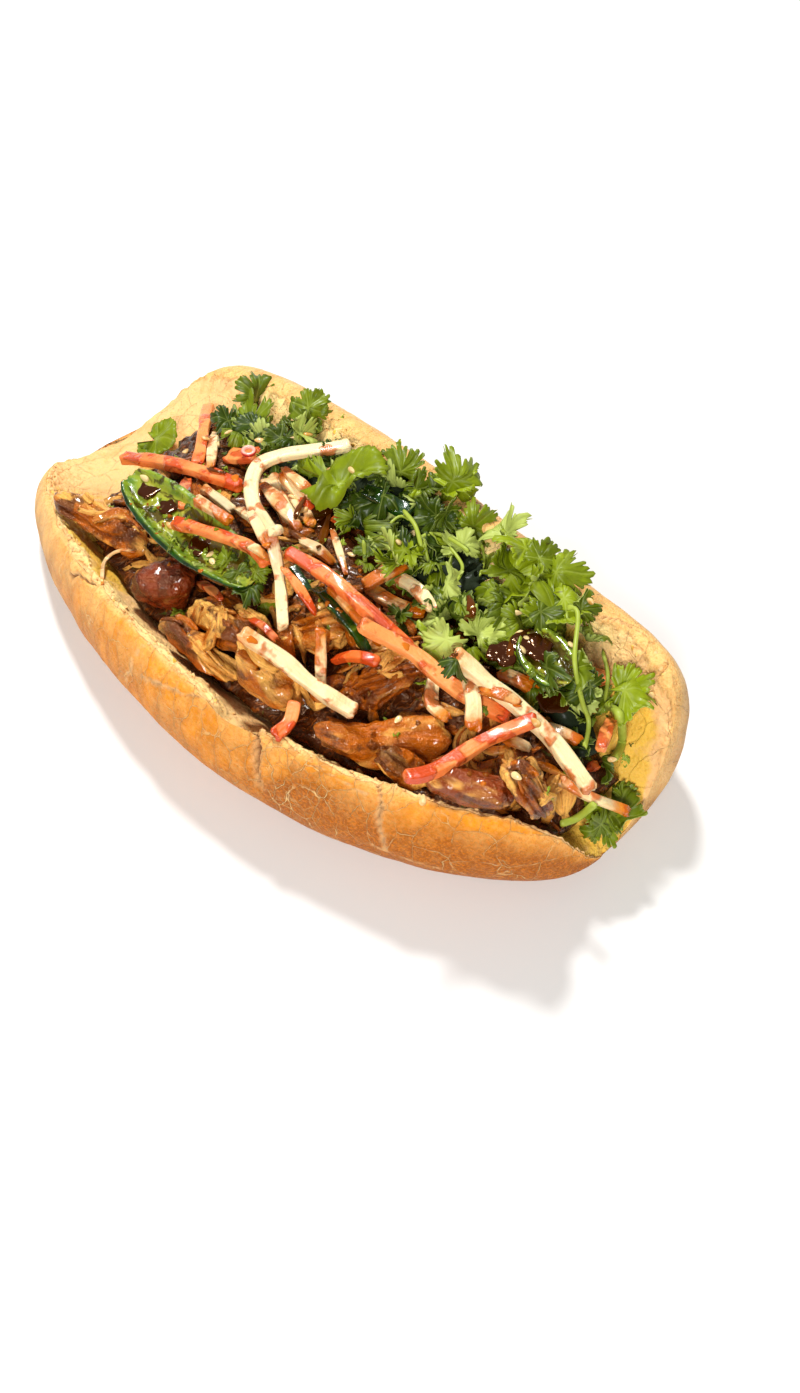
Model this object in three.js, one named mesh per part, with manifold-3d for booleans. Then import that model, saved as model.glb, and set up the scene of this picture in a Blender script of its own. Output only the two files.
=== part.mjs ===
// A banh mi sandwich: a crusty roll cut along its length and opened like a trough, filled with
// glazed pulled meat, strips of carrot and daikon, slices of green chilli and sprigs of coriander.
// Millimetres, +Z up, +X along the roll, -Y to the front half of the roll.
import * as THREE from "three";
import { mergeVertices } from "three/addons/utils/BufferGeometryUtils.js";
import { ImprovedNoise } from "three/addons/math/ImprovedNoise.js";
import Module from "manifold-3d";

const wasm = await Module();
wasm.setup();

// ---------------------------------------------------------------- driving dimensions
const HALF_LENGTH = 114;        // tip to middle of the roll
const HALF_WIDTH = 59;          // edge to middle of the opened roll
const HINGE_Y = -18.5;          // the uncut hinge runs in front of the middle
const FRONT_HEIGHT = 38;        // rim of the front half
const BACK_HEIGHT = 48;         // rim of the back half
const HINGE_THICK = 15;         // bread under the filling
const TIP_LIFT = 8;             // the tips curl up off the table
const FLAT_SHARE = 0.3;         // the middle of the roll that lies flat on the table
const BEND_LEFT = 19.7;         // the ends swing to the back
const BEND_RIGHT = 26.4;
const CRUST_WAVE = 0.8;         // slow dents of the crust
const RIM_TEAR = 1.3;           // raggedness of the cut rim
const GAP = 0.36;               // air between neighbours
const BED_GAP = 0.9;            // air between the bread and the filling's lowest layer
const LEAF_THICK = 0.8;
const RIND = 2;                 // wall of a chilli slice
const CELL = 0.5;               // grid of the height map that pieces are laid down on

// One half of the roll's section, as shares of its width and rim height: from the hinge along
// the table, up the crust, over the rim and down the crumb to the hinge.
const CRUST_LINE = [[0, 0], [0.46, 0], [0.70, 0.03], [0.90, 0.19], [1, 0.45], [0.97, 0.74], [0.88, 0.95]];
const RIM_LINE = [[0.82, 1], [0.75, 0.97]];
const CRUMB_LINE = [[0.64, 0.74], [0.47, 0.52], [0.25, 0.40]];
const SECTION_STEPS = CRUST_LINE.length + RIM_LINE.length + CRUMB_LINE.length;
const HALVES = {
  front: { sign: -1, width: HALF_WIDTH + HINGE_Y, height: FRONT_HEIGHT },
  back: { sign: 1, width: HALF_WIDTH - HINGE_Y, height: BACK_HEIGHT },
};

// Cracks and ledges of the crust: they run between two places given as [x, section step].
const CRACKS = [
  { half: "front", from: [33, 7.6], to: [42, 4.4], wide: 2.4, deep: 2.2, step: 0.8 },
  { half: "front", from: [71, 7.4], to: [77, 3.9], wide: 1.8, deep: 1.2, step: 1.3 },
  { half: "front", from: [73, 3.9], to: [95, 3.4], wide: 2.0, deep: 1.4, step: 0 },
  { half: "front", from: [-4, 4.6], to: [14, 6.6], wide: 2.0, deep: 0.9, step: 0.7 },
  { half: "front", from: [-52, 5.8], to: [-38, 7.0], wide: 2.2, deep: 1.8, step: 0 },
  { half: "back", from: [76, 7.9], to: [88, 6.6], wide: 2.0, deep: 1.4, step: 0 },
];
const CRACK_STEP_LENGTH = 8;    // length of one section step on the crust
const CRUST_FROM = 2.4;         // section steps between which the crust is dented
const CRUST_TO = 7.6;
const RIM_STEP = 7.7;           // the section step of the rim's top

// ---------------------------------------------------------------- colours and finishes
const material = (color, roughness) => new THREE.MeshStandardMaterial({ color, roughness });
const CRUST = material(0xd9924e, 0.55);
const MEAT = material(0x8a4a1e, 0.3);
const MEAT_DARK = material(0x6a2c1a, 0.25);
const CARROT = material(0xe0582a, 0.35);
const DAIKON = material(0xeed9a8, 0.35);
const CHILLI = material(0x2f6b1c, 0.2);
const RED_CHILLI = material(0xc8322a, 0.25);
const HERB = material(0x4d9a24, 0.45);

// ---------------------------------------------------------------- noise and small helpers
const perlin = new ImprovedNoise();
const clamp = THREE.MathUtils.clamp;

function noise(x, y, z, size) {
  return perlin.noise(x / size + 31.7, y / size + 17.3, z / size + 5.9);
}

function makeRandom(seed) {
  let state = seed;
  return () => {
    state = (state * 1664525 + 1013904223) % 4294967296;
    return state / 4294967296;
  };
}

// A closed geometry from points and faces, turned so that its faces point out.
function solid(points, faces) {
  const positions = new Float32Array(points.flatMap((point) => [point.x, point.y, point.z]));
  let volume = 0;
  for (const [a, b, c] of faces) {
    volume += points[a].dot(points[b].clone().cross(points[c]));
  }
  const turned = volume > 0 ? faces : faces.map(([a, b, c]) => [a, c, b]);
  const geometry = new THREE.BufferGeometry();
  geometry.setAttribute("position", new THREE.BufferAttribute(positions, 3));
  geometry.setIndex(turned.flat());
  return geometry;
}

// Joins equal rings of points into a closed skin, with both ends drawn to a point.
function loft(rings, firstTip, lastTip) {
  const size = rings[0].length;
  const points = rings.flat();
  const faces = [];
  for (let ring = 0; ring < rings.length - 1; ring += 1) {
    for (let side = 0; side < size; side += 1) {
      const next = (side + 1) % size;
      const a = ring * size + side;
      const b = ring * size + next;
      faces.push([a, b, b + size], [a, b + size, a + size]);
    }
  }
  const last = (rings.length - 1) * size;
  points.push(firstTip, lastTip);
  for (let side = 0; side < size; side += 1) {
    const next = (side + 1) % size;
    faces.push([side, points.length - 2, next]);
    faces.push([last + side, last + next, points.length - 1]);
  }
  return solid(points, faces);
}

function middleOf(ring) {
  const sum = new THREE.Vector3();
  ring.forEach((point) => sum.add(point));
  return sum.divideScalar(ring.length);
}

function toManifold(geometry) {
  const bare = new THREE.BufferGeometry();
  bare.setAttribute("position", geometry.getAttribute("position"));
  bare.setIndex(geometry.getIndex());
  const merged = mergeVertices(bare, 1e-4);
  return new wasm.Manifold(new wasm.Mesh({
    numProp: 3,
    vertProperties: merged.getAttribute("position").array,
    triVerts: new Uint32Array(merged.getIndex().array),
  }));
}

// Fuses pieces into one body; a piece that missed the body is dropped.
function fuse(geometries) {
  let body = toManifold(geometries[0]);
  for (const geometry of geometries.slice(1)) {
    body = body.add(toManifold(geometry));
  }
  const bodies = body.decompose().sort((a, b) => b.volume() - a.volume());
  const mesh = bodies[0].getMesh();
  const geometry = new THREE.BufferGeometry();
  geometry.setAttribute("position", new THREE.BufferAttribute(new Float32Array(mesh.vertProperties), 3));
  geometry.setIndex(Array.from(mesh.triVerts));
  return geometry;
}

// ---------------------------------------------------------------- the roll
// How the roll's width and height fall off towards its left and its right tip.
const ENDS = {
  left: { widthPower: 1.94, widthRoot: 0.15, heightPower: 1.51 },
  right: { widthPower: 1.59, widthRoot: 0.27, heightPower: 13 },
};
const TIP_CURL = 3.5;

// The part of the full width and height that is left at a share of the half length.
function fullness(share) {
  const reach = Math.min(Math.abs(share), 1);
  const { widthPower, widthRoot, heightPower } = share < 0 ? ENDS.left : ENDS.right;
  return {
    width: (1 - reach ** widthPower) ** widthRoot,
    height: Math.sqrt(1 - reach ** heightPower),
  };
}

function tipLift(share) {
  const reach = Math.max(0, (Math.abs(share) - FLAT_SHARE) / (1 - FLAT_SHARE));
  return TIP_LIFT * reach ** TIP_CURL;
}

function sectionCurve(half) {
  const hinge = [0, HINGE_THICK / half.height];
  const points = [...CRUST_LINE, ...RIM_LINE, ...CRUMB_LINE, hinge];
  return new THREE.SplineCurve(points.map(([across, up]) => new THREE.Vector2(across, up)));
}

const CURVES = { front: sectionCurve(HALVES.front), back: sectionCurve(HALVES.back) };

// Distance from a place on the crust to a crack, and the side of the crack that it lies on.
function crackOffset(crack, x, step) {
  const from = new THREE.Vector2(crack.from[0], crack.from[1] * CRACK_STEP_LENGTH);
  const to = new THREE.Vector2(crack.to[0], crack.to[1] * CRACK_STEP_LENGTH);
  const place = new THREE.Vector2(x, step * CRACK_STEP_LENGTH);
  const along = to.clone().sub(from);
  const share = place.clone().sub(from).dot(along) / along.lengthSq();
  const nearest = from.clone().addScaledVector(along, clamp(share, 0, 1));
  const side = along.cross(place.clone().sub(from)) > 0 ? 1 : -1;
  return { distance: place.distanceTo(nearest), side, beside: share > 0 && share < 1 };
}

function crustRelief(name, x, step) {
  const onCrust = clamp((step - CRUST_FROM) / 1.5, 0, 1) * clamp((CRUST_TO - step) / 0.8, 0, 1);
  let relief = onCrust * CRUST_WAVE * 1.6 * noise(x, step * CRACK_STEP_LENGTH, name.length, 19);
  for (const crack of CRACKS.filter((one) => one.half === name)) {
    const { distance, side, beside } = crackOffset(crack, x, step);
    relief -= crack.deep * Math.max(0, 1 - distance / crack.wide);
    if (beside && side > 0) {
      relief += crack.step * Math.max(0, 1 - distance / 9);
    }
  }
  return relief;
}

// A point of the roll's skin: name of the half, share of the half length, section step.
function breadPoint(name, share, step, raise = 0) {
  const half = HALVES[name];
  const curve = CURVES[name];
  const { width, height } = fullness(share);
  const flat = (at) => {
    const point = curve.getPoint(clamp(at, 0, SECTION_STEPS) / SECTION_STEPS);
    return new THREE.Vector2(point.x * half.width * width, Math.max(0, point.y) * half.height * height);
  };
  const here = flat(step);
  const run = flat(step + 0.15).sub(flat(step - 0.15));
  const out = new THREE.Vector2(run.y, -run.x).normalize();
  const x = share * HALF_LENGTH;
  const near = Math.exp(-(((step - RIM_STEP) / 0.8) ** 2)) * height;
  const relief = raise === 0 ? crustRelief(name, x, step) : raise;
  here.addScaledVector(out, relief);
  if (raise === 0) {
    here.y += near * RIM_TEAR * (noise(x, half.sign * 40, 3, 5) + 0.8 * noise(x, half.sign * 40, 9, 2.3));
  }
  const bend = (share < 0 ? BEND_LEFT : BEND_RIGHT) * share * share;
  const floor = tipLift(share);
  return new THREE.Vector3(x, HINGE_Y + half.sign * here.x + bend, floor + Math.max(0, here.y));
}

const SECTION_SIDES = 14;       // faces round one half of the section
const STATIONS = 42;            // cuts along the roll

function stationShares() {
  const shares = [];
  for (let cut = 1; cut < STATIONS; cut += 1) {
    const turn = -Math.cos((Math.PI * cut) / STATIONS);
    shares.push(Math.sign(turn) * Math.abs(turn) ** 0.95);
  }
  for (const x of [35, 38, 41, 72, 75]) {
    shares.push(x / HALF_LENGTH);
  }
  return shares.sort((a, b) => a - b);
}

function makeBread() {
  const rings = stationShares().map((share) => {
    const ring = [];
    for (let side = 0; side < SECTION_SIDES; side += 1) {
      ring.push(breadPoint("front", share, (side * SECTION_STEPS) / SECTION_SIDES));
    }
    for (let side = SECTION_SIDES; side > 0; side -= 1) {
      ring.push(breadPoint("back", share, (side * SECTION_STEPS) / SECTION_SIDES));
    }
    return ring;
  });
  const leftTip = new THREE.Vector3(-HALF_LENGTH, HINGE_Y + BEND_LEFT, TIP_LIFT + 0.5);
  const rightTip = new THREE.Vector3(HALF_LENGTH, HINGE_Y + BEND_RIGHT, TIP_LIFT + 0.5);
  return loft(rings, leftTip, rightTip);
}

// ---------------------------------------------------------------- laying pieces down
// The height map keeps the highest surface over each cell of the plan.
const MAP_X = 132;
const MAP_Y = 84;
const COLUMNS = Math.ceil((2 * MAP_X) / CELL);
const ROWS = Math.ceil((2 * MAP_Y) / CELL);
const ground = new Float32Array(COLUMNS * ROWS);

function cellOf(x, y) {
  const column = clamp(Math.round((x + MAP_X) / CELL), 1, COLUMNS - 2);
  const row = clamp(Math.round((y + MAP_Y) / CELL), 1, ROWS - 2);
  return row * COLUMNS + column;
}

// Calls visit(x, y, z) on points spread closely over every face of a geometry.
function overSurface(geometry, visit) {
  const place = geometry.getAttribute("position");
  const index = geometry.getIndex();
  const corner = [0, 1, 2].map(() => new THREE.Vector3());
  for (let face = 0; face < index.count; face += 3) {
    corner.forEach((point, turn) => point.fromBufferAttribute(place, index.getX(face + turn)));
    const [a, b, c] = corner;
    const longest = Math.max(a.distanceTo(b), b.distanceTo(c), c.distanceTo(a));
    const parts = Math.max(1, Math.ceil(longest / (CELL * 0.6)));
    for (let i = 0; i <= parts; i += 1) {
      for (let j = 0; j <= parts - i; j += 1) {
        const u = i / parts;
        const v = j / parts;
        const w = 1 - u - v;
        visit(a.x * w + b.x * u + c.x * v, a.y * w + b.y * u + c.y * v, a.z * w + b.z * u + c.z * v);
      }
    }
  }
}

function imprint(geometry) {
  overSurface(geometry, (x, y, z) => {
    const cell = cellOf(x, y);
    ground[cell] = Math.max(ground[cell], z);
  });
}

// The highest ground on a cell and the eight around it.
function groundNear(cell) {
  let top = 0;
  for (const down of [-COLUMNS, 0, COLUMNS]) {
    for (const right of [-1, 0, 1]) {
      top = Math.max(top, ground[cell + down + right]);
    }
  }
  return top;
}

function underside(geometry) {
  const lowest = new Map();
  overSurface(geometry, (x, y, z) => {
    const cell = cellOf(x, y);
    lowest.set(cell, Math.min(z, lowest.get(cell) ?? Infinity));
  });
  return lowest;
}

// Lets a piece sag over the ground, in soft arches of the given reach and into hollows no deeper
// than sag, then lifts it just clear.
function lay(geometry, reach, sag, gap = GAP) {
  const covered = [...underside(geometry).keys()];
  const highest = Math.max(...covered.map(groundNear));
  const cells = covered.map((cell) => ({
    x: (cell % COLUMNS) * CELL - MAP_X,
    y: Math.floor(cell / COLUMNS) * CELL - MAP_Y,
    top: Math.max(groundNear(cell), highest - sag),
  }));
  const nearness = (cell, x, y) => 1 - ((cell.x - x) ** 2 + (cell.y - y) ** 2) / reach ** 2;
  for (const cell of cells) {
    const close = cells.filter((other) => nearness(other, cell.x, cell.y) > 0);
    cell.arch = Math.max(...close.map((other) => other.top));
  }
  const place = geometry.getAttribute("position");
  for (let vertex = 0; vertex < place.count; vertex += 1) {
    let sum = 0;
    let weight = 1e-9;
    for (const cell of cells) {
      const near = nearness(cell, place.getX(vertex), place.getY(vertex));
      if (near > 0) {
        sum += near * near * cell.arch;
        weight += near * near;
      }
    }
    place.setZ(vertex, place.getZ(vertex) + sum / weight);
  }
  let lift = -Infinity;
  for (const [cell, bottom] of underside(geometry)) {
    lift = Math.max(lift, groundNear(cell) + gap - bottom);
  }
  geometry.translate(0, 0, lift);
  return geometry;
}

// ---------------------------------------------------------------- the bed of filling
const BED_FROM = -0.74;
const BED_TO = 0.93;
const BED_STATIONS = 28;
const BED_SIDES = 7;
const BED_CROWN = 9;            // the bed stands this much higher behind the meat
const BED_TAPER = 0.16;         // share of the bed's length over which each end falls away
const BED_FRONT_STEP = 9.35;    // section steps where the bed meets the crumb
const BED_BACK_STEP = 9.2;
const BED_EDGE = 1.5;           // thickness of the bed where it thins out

function makeBed() {
  const rings = [];
  for (let cut = 0; cut <= BED_STATIONS; cut += 1) {
    const share = BED_FROM + ((BED_TO - BED_FROM) * cut) / BED_STATIONS;
    const frontStep = BED_FRONT_STEP + 0.5 * clamp((-share - 0.6) / 0.3, 0, 1);
    const backStep = BED_BACK_STEP + 1.2 * clamp((share - 0.5) / 0.35, 0, 1);
    const floor = [];
    for (let side = 0; side < BED_SIDES; side += 1) {
      const step = frontStep + ((SECTION_STEPS - frontStep) * side) / BED_SIDES;
      floor.push(breadPoint("front", share, step, BED_GAP));
    }
    for (let side = BED_SIDES; side >= 0; side -= 1) {
      const step = backStep + ((SECTION_STEPS - backStep) * side) / BED_SIDES;
      floor.push(breadPoint("back", share, step, BED_GAP));
    }
    const first = floor[0];
    const last = floor[floor.length - 1];
    const taper = BED_STATIONS * BED_TAPER;
    const inward = Math.min(1, (cut + 1) / taper, (BED_STATIONS + 1 - cut) / taper);
    const ends = Math.sin((Math.PI / 2) * inward);
    const top = floor.slice(1, -1).reverse().map((under) => {
      const across = clamp((under.y - first.y) / (last.y - first.y), 0, 1);
      const edge = first.z + (last.z - first.z) * across;
      const rise = THREE.MathUtils.smoothstep(across, 0.2, 0.5);
      const fall = THREE.MathUtils.smoothstep(across, 0.7, 1);
      const lumps = 2.4 * noise(under.x, under.y, 0, 9) * Math.sin(Math.PI * across);
      const crown = BED_CROWN * rise * (1 - 0.75 * fall) + lumps;
      const full = Math.max(BED_EDGE, edge + crown - under.z);
      return new THREE.Vector3(under.x, under.y, under.z + BED_EDGE + (full - BED_EDGE) * ends);
    });
    rings.push([...floor, ...top]);
  }
  return loft(rings, middleOf(rings[0]), middleOf(rings[rings.length - 1]));
}

// ---------------------------------------------------------------- lumps of meat
// A lump: centre in plan, length, width, height, heading in degrees, roughness of its surface.
const LUMPS = [
  { name: "meat_end_piece", at: [-66, -29], size: [38, 12, 9], turn: 10, rough: 1.3 },
  { name: "meat_round_piece", at: [-28, -33], size: [19, 15, 14], turn: 43, rough: 0.5, dark: true },
  { name: "meat_low_piece", at: [1, -42], size: [28, 10, 9], turn: 9, rough: 0.9, dark: true },
  { name: "meat_char_piece", at: [2, -31], size: [34, 17, 13], turn: -3, rough: 1.6, fine: true },
  { name: "meat_fold_piece", at: [26, -35], size: [19, 13, 11], turn: 13, rough: 1.3 },
  { name: "meat_shreds", at: [22, -16], size: [22, 12, 7], turn: 50, rough: 1.9 },
  { name: "meat_long_piece", at: [59, -25], size: [37, 12, 13], turn: 50, rough: 0.7, fine: true },
  { name: "meat_crumbly_piece", at: [70, -28], size: [15, 9, 8], turn: 33, rough: 1.6 },
  { name: "meat_sauced_piece", at: [46, -14], size: [27, 11, 7], turn: 62, rough: 1.1 },
  { name: "meat_middle_piece", at: [76, 2], size: [15, 10, 8], turn: 14, rough: 1.0 },
  { name: "meat_dark_piece", at: [88, -21], size: [24, 12, 11], turn: 24, rough: 0.7, dark: true },
  { name: "meat_pale_end", at: [99, -13], size: [14, 11, 8], turn: 30, rough: 1.6 },
];

function makeLump(lump) {
  const detail = lump.fine ? 3 : 2;
  const ball = new THREE.IcosahedronGeometry(1, detail);
  ball.deleteAttribute("normal");
  ball.deleteAttribute("uv");
  const skin = mergeVertices(ball, 1e-4);
  const place = skin.getAttribute("position");
  const [long, wide, high] = lump.size.map((size) => size / 2);
  const square = (value) => Math.sign(value) * Math.abs(value) ** 0.8;
  for (let vertex = 0; vertex < place.count; vertex += 1) {
    const point = new THREE.Vector3().fromBufferAttribute(place, vertex);
    const out = point.clone();
    point.set(square(point.x) * long, square(point.y) * wide, square(point.z) * high);
    const grain = noise(point.x * 0.35, point.y + lump.at[0], point.z, 4.5);
    const dents = noise(point.x + lump.at[1], point.y, point.z + lump.at[0], 9);
    point.addScaledVector(out, lump.rough * (1.1 * grain + 1.6 * dents));
    place.setXYZ(vertex, point.x, point.y, point.z);
  }
  skin.rotateZ(THREE.MathUtils.degToRad(lump.turn));
  skin.translate(lump.at[0], lump.at[1], 0);
  return lay(skin, 5, 9);
}

// ---------------------------------------------------------------- strips of carrot and daikon
// A strip: the plan points that it runs through, its width and its thickness.
const STRIPS = [
  { name: "chilli_dark_slice", run: [[-1, 23], [13, 29]], wide: 5, thick: 2.4 },
  { name: "chilli_thin_slice", run: [[-1, -5], [26, -11], [38, -10]], wide: 2.8, thick: 2.4 },
  { name: "daikon_back_short_a", run: [[-34, -14], [-20, -12]], wide: 3.0, thick: 2.6 },
  { name: "daikon_back_short_b", run: [[-47, -3], [-32, -3]], wide: 3.0, thick: 2.4 },
  { name: "carrot_left_upright", run: [[-90, 30], [-68, 12], [-58, 3]], wide: 3.8, thick: 2.6 },
  { name: "carrot_dark_short", run: [[32, -18], [45, -13]], wide: 2.9, thick: 2.4 },
  { name: "carrot_fallen", run: [[37, -36], [41, -41], [41, -49]], wide: 3.8, thick: 2.0, sag: 16 },
  { name: "carrot_right_upper", run: [[81, 30], [88, 32]], wide: 4.0, thick: 2.4 },
  { name: "carrot_right_lower", run: [[95, 27], [103, 12]], wide: 3.2, thick: 2.4 },
  { name: "daikon_stained_low", run: [[20, 5], [31, 7], [38, 11]], wide: 4.2, thick: 2.2 },
  { name: "daikon_pair", run: [[22, 13], [41, 11]], wide: 3.8, thick: 2.6 },
  { name: "daikon_cross_short", run: [[21, 3], [25, 16]], wide: 4.2, thick: 2.4 },
  { name: "daikon_green_edge", run: [[20, -8], [32, -9], [41, -8]], wide: 3.3, thick: 2.6 },
  { name: "daikon_fan_a", run: [[-35, 13], [-13, 5]], wide: 5.0, thick: 2.6 },
  { name: "daikon_fan_b", run: [[-31, 16], [-16, 15]], wide: 4.8, thick: 2.6 },
  { name: "carrot_left_middle", run: [[-35, -22], [-23, -19], [-15, -17], [-6, -15], [2, -16]],
    wide: 3.6, thick: 2.6 },
  { name: "carrot_left_top", run: [[-85, -8], [-59, -1], [-38, 5]], wide: 4.3, thick: 3.2 },
  { name: "carrot_left_curl", run: [[-54.5, 12.5], [-50, 14.5], [-45.5, 17.5]], wide: 6.5, thick: 2.4 },
  { name: "daikon_right_stained", run: [[68, 10], [81, 13]], wide: 4.0, thick: 2.2 },
  { name: "daikon_right_thin", run: [[99, 3], [107, 6], [115, 13]], wide: 2.8, thick: 1.8 },
  { name: "daikon_right_short", run: [[85, 7], [97, 11]], wide: 3.2, thick: 2.4 },
  { name: "daikon_left_drape", run: [[-2, -11], [6, -15], [18, -24]], wide: 3.4, thick: 2.6 },
  { name: "carrot_middle_long", run: [[4, -10], [18, -8], [39, -7], [50, -6]], wide: 4.0, thick: 3.0 },
  { name: "daikon_upright", run: [[26, -17], [38, -28]], wide: 3.3, thick: 2.8 },
  { name: "daikon_broken_long", run: [[17, -37], [28, -32], [37, -30], [50, -26]], wide: 4.4, thick: 2.8 },
  { name: "daikon_curved_a", run: [[53, 2], [58, -5], [63, -10], [70, -11]], wide: 3.6, thick: 1.8 },
  { name: "carrot_pale_long", run: [[39, -14], [51, -7], [64, -5], [82, -1]], wide: 4.2, thick: 2.8 },
  { name: "daikon_curved_b", run: [[67, -1], [74, -6], [78, -10]], wide: 4.2, thick: 1.8 },
  { name: "daikon_right_long", run: [[62, -2], [73, 0], [82, 2], [93, 3], [102, 2], [110, 1]],
    wide: 4.4, thick: 3.2 },
  { name: "carrot_cross", run: [[89, 2], [84, -11], [82, -28], [79, -35]], wide: 3.8, thick: 2.8 },
  { name: "daikon_great_curl",
    run: [[-21, 35], [-28, 24], [-32, 16], [-33, 9], [-29, 3], [-22, -2], [-13, -5], [1, -11]],
    wide: 4.5, thick: 2.8 },
];
const STRIP_STEP = 5;           // length of one straight stretch of a strip

function makeStrip(strip) {
  const curve = new THREE.CatmullRomCurve3(strip.run.map(([x, y]) => new THREE.Vector3(x, y, 0)));
  const cuts = Math.max(2, Math.round(curve.getLength() / STRIP_STEP));
  const rings = [];
  for (let cut = 0; cut <= cuts; cut += 1) {
    const share = cut / cuts;
    const point = curve.getPointAt(share);
    const ahead = curve.getTangentAt(share);
    const across = new THREE.Vector3(-ahead.y, ahead.x, 0);
    const swell = 1 + 0.16 * noise(point.x, point.y, strip.wide, 6);
    const tilt = 0.25 * noise(point.x, point.y, 7, 14);
    const corners = [[-1, -1], [1, -1], [1, 1], [-1, 1]].map(([side, up]) => {
      const sideways = (side * strip.wide * swell) / 2;
      const upward = (up * strip.thick * swell) / 2 + sideways * tilt;
      return point.clone().addScaledVector(across, sideways).setZ(upward);
    });
    rings.push(corners);
  }
  const skin = loft(rings, middleOf(rings[0]), middleOf(rings[cuts]));
  return lay(skin, 4.5, strip.sag ?? 10);
}

// ---------------------------------------------------------------- green chilli slices
// A boat: a slice whose rind curves up on both sides of a hollow, here partly full of pith.
function makeBoat({ at, size, turn, lean, hollow, seeds, cuts }) {
  const [long, wide, deep] = size;
  const pith = wide / 2 - RIND;
  const rings = [];
  for (let cut = 1; cut < cuts; cut += 1) {
    const along = -Math.cos((Math.PI * cut) / cuts);
    const girth = Math.sqrt(1 - along * along * 0.97) ** 0.8;
    const ring = [];
    for (const angle of [0, 30, 65, 115, 150, 180]) {
      const turnRound = THREE.MathUtils.degToRad(angle);
      ring.push([(-Math.cos(turnRound) * wide) / 2, -Math.sin(turnRound) * deep]);
    }
    ring.push([pith, 0.3], [wide / 4, -hollow], [-wide / 4, -hollow], [-pith, 0.3]);
    rings.push(ring.map(([y, z]) => new THREE.Vector3((along * long) / 2, y * girth, z * girth)));
  }
  const tip = (side) => new THREE.Vector3((side * long) / 2, 0, -0.6);
  const pieces = [loft(rings, tip(-1), tip(1))];
  const random = makeRandom(at[0] * 7 + 977);
  for (let count = 0; count < seeds; count += 1) {
    const seed = makeSeed(3.2, 2.4, 1.7);
    seed.rotateZ(random() * Math.PI);
    seed.translate((random() - 0.5) * long * 0.62, (random() - 0.5) * wide * 0.42, 0.3 - hollow * 0.93);
    pieces.push(seed);
  }
  const boat = fuse(pieces);
  boat.rotateX(THREE.MathUtils.degToRad(lean));
  boat.rotateZ(THREE.MathUtils.degToRad(turn));
  boat.translate(at[0], at[1], 0);
  return lay(boat, 9, 3);
}

function makeSeed(long, wide, thick) {
  const seed = new THREE.IcosahedronGeometry(1, 0);
  seed.deleteAttribute("normal");
  seed.deleteAttribute("uv");
  seed.scale(long / 2, wide / 2, thick / 2);
  return mergeVertices(seed, 1e-4);
}

// ---------------------------------------------------------------- coriander leaves
// A leaf: centre, radius, heading of its tip, rise towards the tip, roll, and the strip that lies on it.
const leafAt = (name, at, radius, turn, rise, roll, under) => ({ name, at, radius, turn, rise, roll, under });
const LEAVES = [
  leafAt("herb_notch_leaf", [-96, 11], 8.5, 20, 2, 3, "carrot_left_top"),
  leafAt("herb_left_sprig", [-65, 30], 11, 147, 3, -2),
  leafAt("herb_left_tip", [-45, 37], 8.5, 120, 4, 2),
  leafAt("herb_broad_leaf", [-10, 22], 15, 60, 3, 4),
  leafAt("herb_rim_leaf", [13, 43], 9.5, 77, 3, -2),
  leafAt("herb_hanging_leaf", [26, 16], 10.5, -150, -3, 3),
  leafAt("herb_crown_leaf", [51, 31], 14, 43, 4, -4),
  leafAt("herb_pale_leaf", [52, 7], 10, -92, -2, -3, "daikon_right_long"),
  leafAt("herb_stem_leaf", [70, 29], 11, 170, 2, 3),
  leafAt("herb_right_leaf", [94, 30], 8, 40, 2, 2),
  leafAt("herb_tip_leaf", [113, 10], 8, -86, 1, -2, "chilli_dark_slice"),
];
const LEAF_SIDES = 32;
const LEAF_RINGS = [0.5, 1];

// The outline of a lobed leaf: radius at an angle from the tip, as a share of the leaf's radius.
function leafOutline(angle) {
  const lobes = Math.abs(Math.cos(angle * 2.25)) ** 0.7;
  const teeth = 1 + 0.07 * Math.cos(angle * 13.5);
  const stalk = clamp((Math.PI - Math.abs(angle)) / 0.5, 0, 1);
  return (0.6 + 0.4 * lobes) * teeth * (0.35 + 0.65 * stalk) * (1 - 0.08 * Math.abs(angle));
}

function makeLeaf(leaf) {
  const points = [];
  const faces = [];
  const heading = THREE.MathUtils.degToRad(leaf.turn);
  for (const side of [1, -1]) {
    points.push(new THREE.Vector3(0, 0, (side * LEAF_THICK) / 2));
    for (const ring of LEAF_RINGS) {
      for (let step = 0; step < LEAF_SIDES; step += 1) {
        const angle = (step / LEAF_SIDES) * 2 * Math.PI - Math.PI;
        const reach = ring * leafOutline(angle) * leaf.radius;
        const along = Math.cos(angle) * reach;
        const across = Math.sin(angle) * reach;
        const wave = 0.09 * leaf.radius * Math.cos(angle * 4.5) * ring * ring;
        const slope = (leaf.rise * along + leaf.roll * across) / leaf.radius;
        points.push(new THREE.Vector3(along, across, slope + wave + (side * LEAF_THICK) / 2));
      }
    }
  }
  const face = points.length / 2;
  const turnPair = (a, b, c) => faces.push([a, b, c], [a + face, c + face, b + face]);
  for (let step = 0; step < LEAF_SIDES; step += 1) {
    const next = (step + 1) % LEAF_SIDES;
    const inner = 1;
    const outer = 1 + LEAF_SIDES;
    turnPair(0, inner + step, inner + next);
    turnPair(inner + step, outer + step, outer + next);
    turnPair(inner + step, outer + next, inner + next);
    faces.push([outer + step, outer + step + face, outer + next + face]);
    faces.push([outer + step, outer + next + face, outer + next]);
  }
  const skin = solid(points, faces);
  skin.rotateZ(heading);
  skin.translate(leaf.at[0], leaf.at[1], 0);
  return skin;
}

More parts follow.
